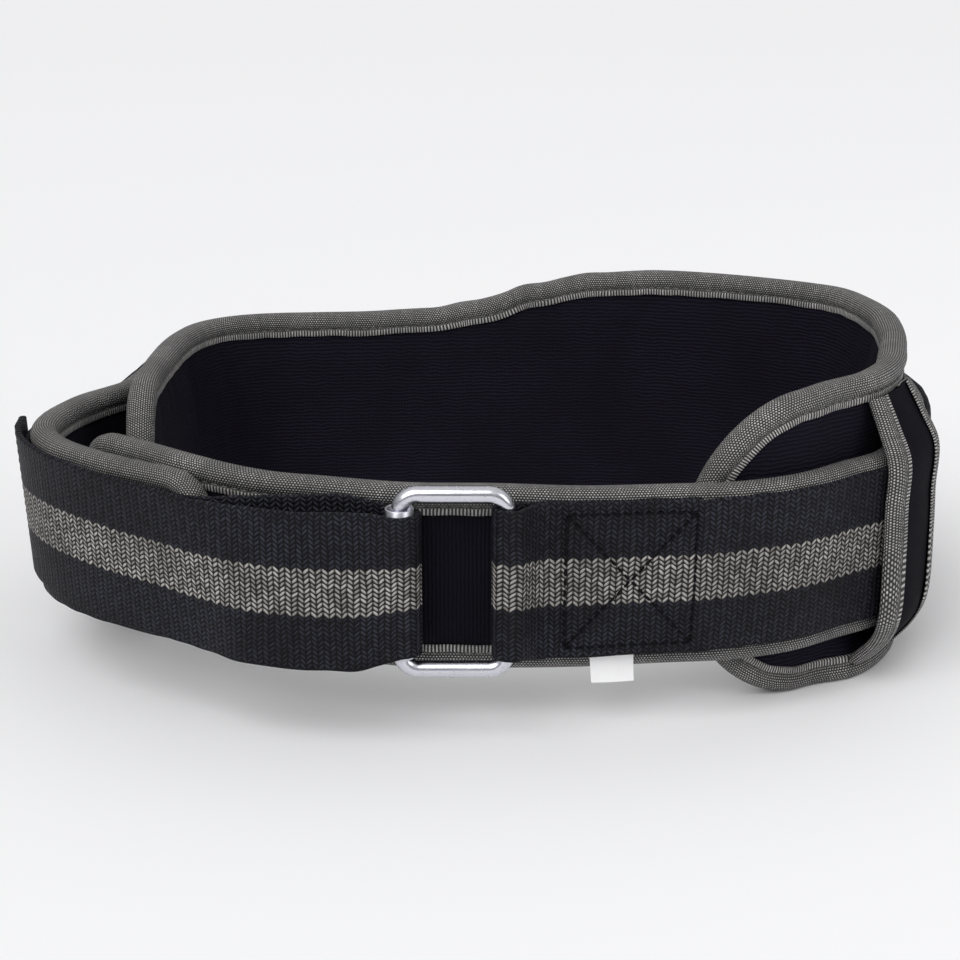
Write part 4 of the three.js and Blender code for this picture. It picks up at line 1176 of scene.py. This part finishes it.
class Keeper:
    """The keeper's curved surface between the pad's upper and lower tape."""

    def __init__(self):
        self.pad = pad_line(belt_line())
        size = sizes()
        middle = 0.1355 * self.pad.length
        self.first, self.last = middle - size.keeper_span / 2, middle + size.keeper_span / 2
        self.near = smooth_line([(z, t) for z, t in keeper_rows(self.pad, self.first)], 8)
        self.far = smooth_line([(z, t) for z, t in keeper_rows(self.pad, self.last)], 8)

    def place(self, run, rise, out):
        """Points by run along the pad, rise from 0 at the foot to 1 at the top, and out."""
        share = (run - self.first) / (self.last - self.first)
        index = rise * (len(self.near) - 1)
        stations = np.arange(len(self.near))
        samples = []
        for column in (0, 1):
            near = np.interp(index, stations, self.near[:, column])
            far = np.interp(index, stations, self.far[:, column])
            samples.append(near + (far - near) * share)
        slope = np.gradient((self.near + self.far) / 2, axis=0)
        slope /= np.linalg.norm(slope, axis=1)[:, None]
        height = samples[0] - np.interp(index, stations, slope[:, 1]) * out
        away = samples[1] + np.interp(index, stations, slope[:, 0]) * out
        x, y = self.pad.beside(run, away)
        return np.stack([x, y, height], axis=-1)

    def length(self):
        """The keeper's length along its middle."""
        return float(np.linalg.norm(np.diff(self.near, axis=0), axis=1).sum())


def make_keeper():
    """The keeper strip over the belt, its two edge tapes and their stitches."""
    keeper = Keeper()
    half = sizes().keeper_thickness / 2
    length = keeper.length()
    width = keeper.last - keeper.first
    ring = np.array([(0, -1), (0, 1), (1, 1), (1, -1), (0, -1)], float)
    counts = [1, 16, 1, 16]
    section = [ring[0]]
    for i, count in enumerate(counts):
        for step in range(1, count + 1):
            section.append(ring[i] + (ring[i + 1] - ring[i]) * step / count)
    section = np.array(section)
    total = len(section) - 1

    def wrap(along, round_share):
        index = round_share * total
        share = np.interp(index, np.arange(total + 1), section[:, 0])
        out = np.interp(index, np.arange(total + 1), section[:, 1]) * half
        run = keeper.first + 0.001 + (width - 0.002) * share
        out = out + 0.0002 * np.sin(along * 21 + share * 5) * np.sin(math.pi * share)
        return keeper.place(run, along, out), np.stack([along * length, share * width], axis=1)

    shape = cloth_grid(120, total, wrap, close_rows=True, cap=True)
    cloth = smooth_cloth("plain_cloth", tuple(colours().keeper), 0.85, 0.0007, 0.3, 0.08)
    piece = finish_piece("keeper_strip", shape, cloth, ["keeper_panel"])

    profile = tape_profile()
    profile[:, 0] *= sizes().keeper_tape_reach / 0.0082
    profile[:, 1] *= 0.44
    tape = tape_cloth("keeper_tape_weave", profile)
    thread = bpy.data.materials["tape_thread"]
    steps = np.concatenate([[0.0], np.cumsum(np.linalg.norm(np.diff(profile, axis=0), axis=1))])
    count = len(profile) - 1
    for name, edge, sense, node in (
        ("keeper_tape_near", keeper.first - 0.0006, 1, "keeper_binding_near"),
        ("keeper_tape_far", keeper.last + 0.0006, -1, "keeper_binding_far"),
    ):
        def wrap_tape(along, round_share, edge=edge, sense=sense):
            index = round_share * count
            depth = np.interp(index, np.arange(count + 1), profile[:, 0])
            out = np.interp(index, np.arange(count + 1), profile[:, 1])
            across = np.interp(index, np.arange(count + 1), steps)
            return keeper.place(edge + sense * depth, along, out), np.stack([along * length, across], axis=1)

        shape = cloth_grid(150, count, wrap_tape, close_rows=True, cap=True)
        finish_piece(name, shape, tape, [node])
        shape = bmesh.new()

        def surface(distance, beside, over, edge=edge, sense=sense):
            return keeper.place(edge + sense * (0.0039 + beside), distance / length, 0.00175 + over)

        sew(shape, length, surface)
        finish_piece(name + "_stitches", shape, thread)


def make_buckle():
    """The steel ring, bent from wire, and the thin roller tube on its left bar."""
    size = sizes()
    low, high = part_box("buckle_ring")
    middle = (low + high) / 2
    wire = (high.y - low.y) / 2
    bend = size.ring_corner - wire
    half_width, half_height = (high.x - low.x) / 2 - wire, (high.z - low.z) / 2 - wire
    shape = bmesh.new()
    start = Matrix.Translation((-half_width + bend, 0, half_height)) @ Matrix.Rotation(math.pi / 2, 4, "Y")
    made = bmesh.ops.create_circle(shape, segments=28, radius=wire, matrix=start)
    verts = made["verts"]
    edges = list({edge for vertex in verts for edge in vertex.link_edges})
    corners = (
        (half_width - bend, half_height - bend),
        (half_width - bend, bend - half_height),
        (bend - half_width, bend - half_height),
        (bend - half_width, half_height - bend),
    )
    runs = (half_width - bend, half_height - bend, half_width - bend, half_height - bend)
    directions = ((1, 0, 0), (0, 0, -1), (-1, 0, 0), (0, 0, 1))
    for (x, z), run, direction in zip(corners, runs, directions):
        made = bmesh.ops.extrude_edge_only(shape, edges=edges)
        verts = [item for item in made["geom"] if isinstance(item, bmesh.types.BMVert)]
        edges = [item for item in made["geom"] if isinstance(item, bmesh.types.BMEdge)]
        bmesh.ops.translate(shape, verts=verts, vec=Vector(direction) * run * 2)
        made = bmesh.ops.spin(
            shape, geom=verts + edges, cent=(x, 0, z), axis=(0, 1, 0), angle=math.pi / 2, steps=12, use_merge=False
        )
        verts = [item for item in made["geom_last"] if isinstance(item, bmesh.types.BMVert)]
        edges = [item for item in made["geom_last"] if isinstance(item, bmesh.types.BMEdge)]
    bmesh.ops.remove_doubles(shape, verts=shape.verts[:], dist=1e-5)
    bmesh.ops.recalc_face_normals(shape, faces=shape.faces[:])
    bmesh.ops.translate(shape, verts=shape.verts[:], vec=middle)
    steel = steel_finish("polished_steel", tuple(colours().steel), 0.2)
    finish_piece("ring", shape, steel, ["buckle_ring"])

    low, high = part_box("buckle_roller")
    middle = (low + high) / 2
    outer, half = (high.x - low.x) / 2, (high.z - low.z) / 2
    bore, round_edge = 0.00355, 0.0002
    shape = bmesh.new()
    profile = [
        (bore, -half + round_edge), (bore + round_edge, -half), (outer - round_edge, -half),
        (outer, -half + round_edge), (outer, half - round_edge), (outer - round_edge, half),
        (bore + round_edge, half), (bore, half - round_edge),
    ]
    verts = [shape.verts.new((radius, 0, height)) for radius, height in profile]
    edges = [shape.edges.new((a, b)) for a, b in zip(verts, verts[1:] + verts[:1])]
    bmesh.ops.spin(
        shape, geom=verts + edges, cent=(0, 0, 0), axis=(0, 0, 1), angle=2 * math.pi, steps=48, use_merge=True
    )
    bmesh.ops.remove_doubles(shape, verts=shape.verts[:], dist=1e-6)
    bmesh.ops.recalc_face_normals(shape, faces=shape.faces[:])
    bmesh.ops.translate(shape, verts=shape.verts[:], vec=middle)
    steel = steel_finish("worn_steel", scaled(tuple(colours().steel), 0.92), 0.24)
    finish_piece("roller", shape, steel, ["buckle_roller"])


def make_size_tag():
    """The bare size tag, sewn in under the strap's lower edge."""
    belt = belt_line()
    low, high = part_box("size_tag")
    width, height = 0.0134, high.z - low.z
    run_middle = 0.2 * belt.length
    top = high.z - sizes().belt_lift - float(belt.value(run_middle, "lift"))
    face = sizes().pad_thickness / 2 + 0.0011

    def wrap(along, across):
        run = run_middle + width * (along - 0.5) * (1 - 0.03 * across) + 0.0004 * across
        down = top - height * across
        curl = 0.0012 * across ** 2 + 0.0003 * np.sin(along * math.pi) * across
        return place_on_belt(belt, run, down, face + curl), np.stack([along * width, across * height], axis=1)

    shape = cloth_grid(18, 12, wrap)
    bmesh.ops.recalc_face_normals(shape, faces=shape.faces[:])
    bmesh.ops.solidify(shape, geom=shape.faces[:], thickness=0.0006)
    cloth = smooth_cloth("label_cloth", tuple(colours().tag), 0.6, 0.0004, 0.05, 0.2)
    finish_piece("tag", shape, cloth, ["size_tag"], smooth=False)


def make_stage():
    """The pale floor, the soft studio light and the camera."""
    scene = bpy.context.scene
    shape = bmesh.new()
    bmesh.ops.create_grid(shape, x_segments=2, y_segments=2, size=30.0)
    mesh = bpy.data.meshes.new("floor")
    shape.to_mesh(mesh)
    shape.free()
    floor = bpy.data.objects.new("floor", mesh)
    scene.collection.objects.link(floor)
    finish = Finish("floor_paper")
    finish.shader.inputs["Base Color"].default_value = (0.93, 0.93, 0.94, 1.0)
    finish.shader.inputs["Roughness"].default_value = 0.9
    mesh.materials.append(finish.material)
    floor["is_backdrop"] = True

    scene.view_settings.view_transform = "Standard"
    world = bpy.data.worlds.new("studio")
    world.use_nodes = True
    nodes, links = world.node_tree.nodes, world.node_tree.links
    coordinates = nodes.new("ShaderNodeTexCoord")
    split = nodes.new("ShaderNodeSeparateXYZ")
    ramp = nodes.new("ShaderNodeValToRGB")
    ramp.color_ramp.elements[0].position = 0.0
    ramp.color_ramp.elements[0].color = (0.16, 0.16, 0.18, 1.0)
    ramp.color_ramp.elements[1].position = 0.75
    ramp.color_ramp.elements[1].color = (1.0, 1.0, 1.0, 1.0)
    links.new(coordinates.outputs["Generated"], split.inputs[0])
    links.new(split.outputs[2], ramp.inputs[0])
    links.new(ramp.outputs[0], nodes["Background"].inputs[0])
    nodes["Background"].inputs[1].default_value = 0.7
    scene.world = world
    lamps = (
        ("key", "SUN", (-0.7, -1.1, 1.5), 0.9, 1.5),
        ("fill", "AREA", (1.3, -1.0, 0.9), 1.0, 5.0),
    )
    for name, kind, place, size, power in lamps:
        light = bpy.data.lights.new(name, kind)
        light.energy = power
        if kind == "SUN":
            light.angle = size
        else:
            light.size = size
        lamp = bpy.data.objects.new(name, light)
        lamp.location = place
        lamp.rotation_euler = (Vector((0, 0, 0.05)) - Vector(place)).to_track_quat("-Z", "Y").to_euler()
        scene.collection.objects.link(lamp)

    middle_x, middle_y = loop_middle()
    camera = bpy.data.objects.new("camera", bpy.data.cameras.new("camera"))
    camera.data.sensor_width = 36.0
    camera.data.lens = 71.25
    camera.location = (middle_x - 0.0055, middle_y - 0.624, 0.251)
    camera.rotation_euler = (math.radians(90 - 18.1), 0, 0)
    scene.collection.objects.link(camera)
    scene.camera = camera


class BELT_OT_back_pad(bpy.types.Operator):
    """Make the back pad's foam panel"""

    bl_idname = "belt.back_pad"
    bl_label = "Back Pad"

    def execute(self, context):
        make_back_pad()
        return {"FINISHED"}


class BELT_OT_narrow_belt(bpy.types.Operator):
    """Make the narrow belt's foam panel"""

    bl_idname = "belt.narrow_belt"
    bl_label = "Narrow Belt"

    def execute(self, context):
        make_narrow_belt()
        return {"FINISHED"}


class BELT_OT_edge_tapes(bpy.types.Operator):
    """Make the edge tapes of the pad and the narrow belt with their stitches"""

    bl_idname = "belt.edge_tapes"
    bl_label = "Edge Tapes"

    def execute(self, context):
        make_edge_tapes()
        return {"FINISHED"}


class BELT_OT_strap(bpy.types.Operator):
    """Make the webbing strap with its stitches"""

    bl_idname = "belt.strap"
    bl_label = "Webbing Strap"

    def execute(self, context):
        make_strap()
        return {"FINISHED"}


class BELT_OT_keeper(bpy.types.Operator):
    """Make the keeper strip with its tapes and stitches"""

    bl_idname = "belt.keeper"
    bl_label = "Keeper"

    def execute(self, context):
        make_keeper()
        return {"FINISHED"}


class BELT_OT_buckle(bpy.types.Operator):
    """Make the steel ring and its roller"""

    bl_idname = "belt.buckle"
    bl_label = "Ring and Roller"

    def execute(self, context):
        make_buckle()
        return {"FINISHED"}


class BELT_OT_size_tag(bpy.types.Operator):
    """Make the bare size tag"""

    bl_idname = "belt.size_tag"
    bl_label = "Size Tag"

    def execute(self, context):
        make_size_tag()
        return {"FINISHED"}


class BELT_OT_stage(bpy.types.Operator):
    """Set the floor, the light and the camera"""

    bl_idname = "belt.stage"
    bl_label = "Stage"

    def execute(self, context):
        make_stage()
        return {"FINISHED"}


OPERATORS = (
    BELT_OT_back_pad,
    BELT_OT_narrow_belt,
    BELT_OT_edge_tapes,
    BELT_OT_strap,
    BELT_OT_keeper,
    BELT_OT_buckle,
    BELT_OT_size_tag,
    BELT_OT_stage,
)


class BELT_PT_sidebar(bpy.types.Panel):
    """Lists the belt's sizes, colours and pieces"""

    bl_idname = "BELT_PT_sidebar"
    bl_label = "Weightlifting Belt"
    bl_space_type = "VIEW_3D"
    bl_region_type = "UI"
    bl_category = "Belt"

    def draw(self, context):
        for group in (context.scene.belt_sizes, context.scene.belt_colours):
            column = self.layout.column()
            for key in group.bl_rna.properties.keys():
                if key not in ("rna_type", "name"):
                    column.prop(group, key)
        for kind in OPERATORS:
            self.layout.operator(kind.bl_idname)


CLASSES = (BeltSizes, BeltColours, *OPERATORS, BELT_PT_sidebar)


def register():
    """Registers the classes and the scene's groups of sizes and colours."""
    for kind in CLASSES:
        bpy.utils.register_class(kind)
    bpy.types.Scene.belt_sizes = bpy.props.PointerProperty(type=BeltSizes)
    bpy.types.Scene.belt_colours = bpy.props.PointerProperty(type=BeltColours)


def unregister():
    """Removes what register added."""
    del bpy.types.Scene.belt_colours
    del bpy.types.Scene.belt_sizes
    for kind in reversed(CLASSES):
        bpy.utils.unregister_class(kind)


def corners(box):
    """A box's two corners as plain lists."""
    return [list(corner) for corner in box]


def main():
    """Builds every piece in order."""
    register()
    frame_box = corners(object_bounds())
    bpy.ops.belt.back_pad()
    bpy.ops.belt.narrow_belt()
    bpy.ops.belt.edge_tapes()
    bpy.ops.belt.strap()
    bpy.ops.belt.keeper()
    bpy.ops.belt.buckle()
    bpy.ops.belt.size_tag()
    bpy.ops.belt.stage()
    {"cad": frame_box, "visual": corners(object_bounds())}


if __name__ == "__main__":
    main()
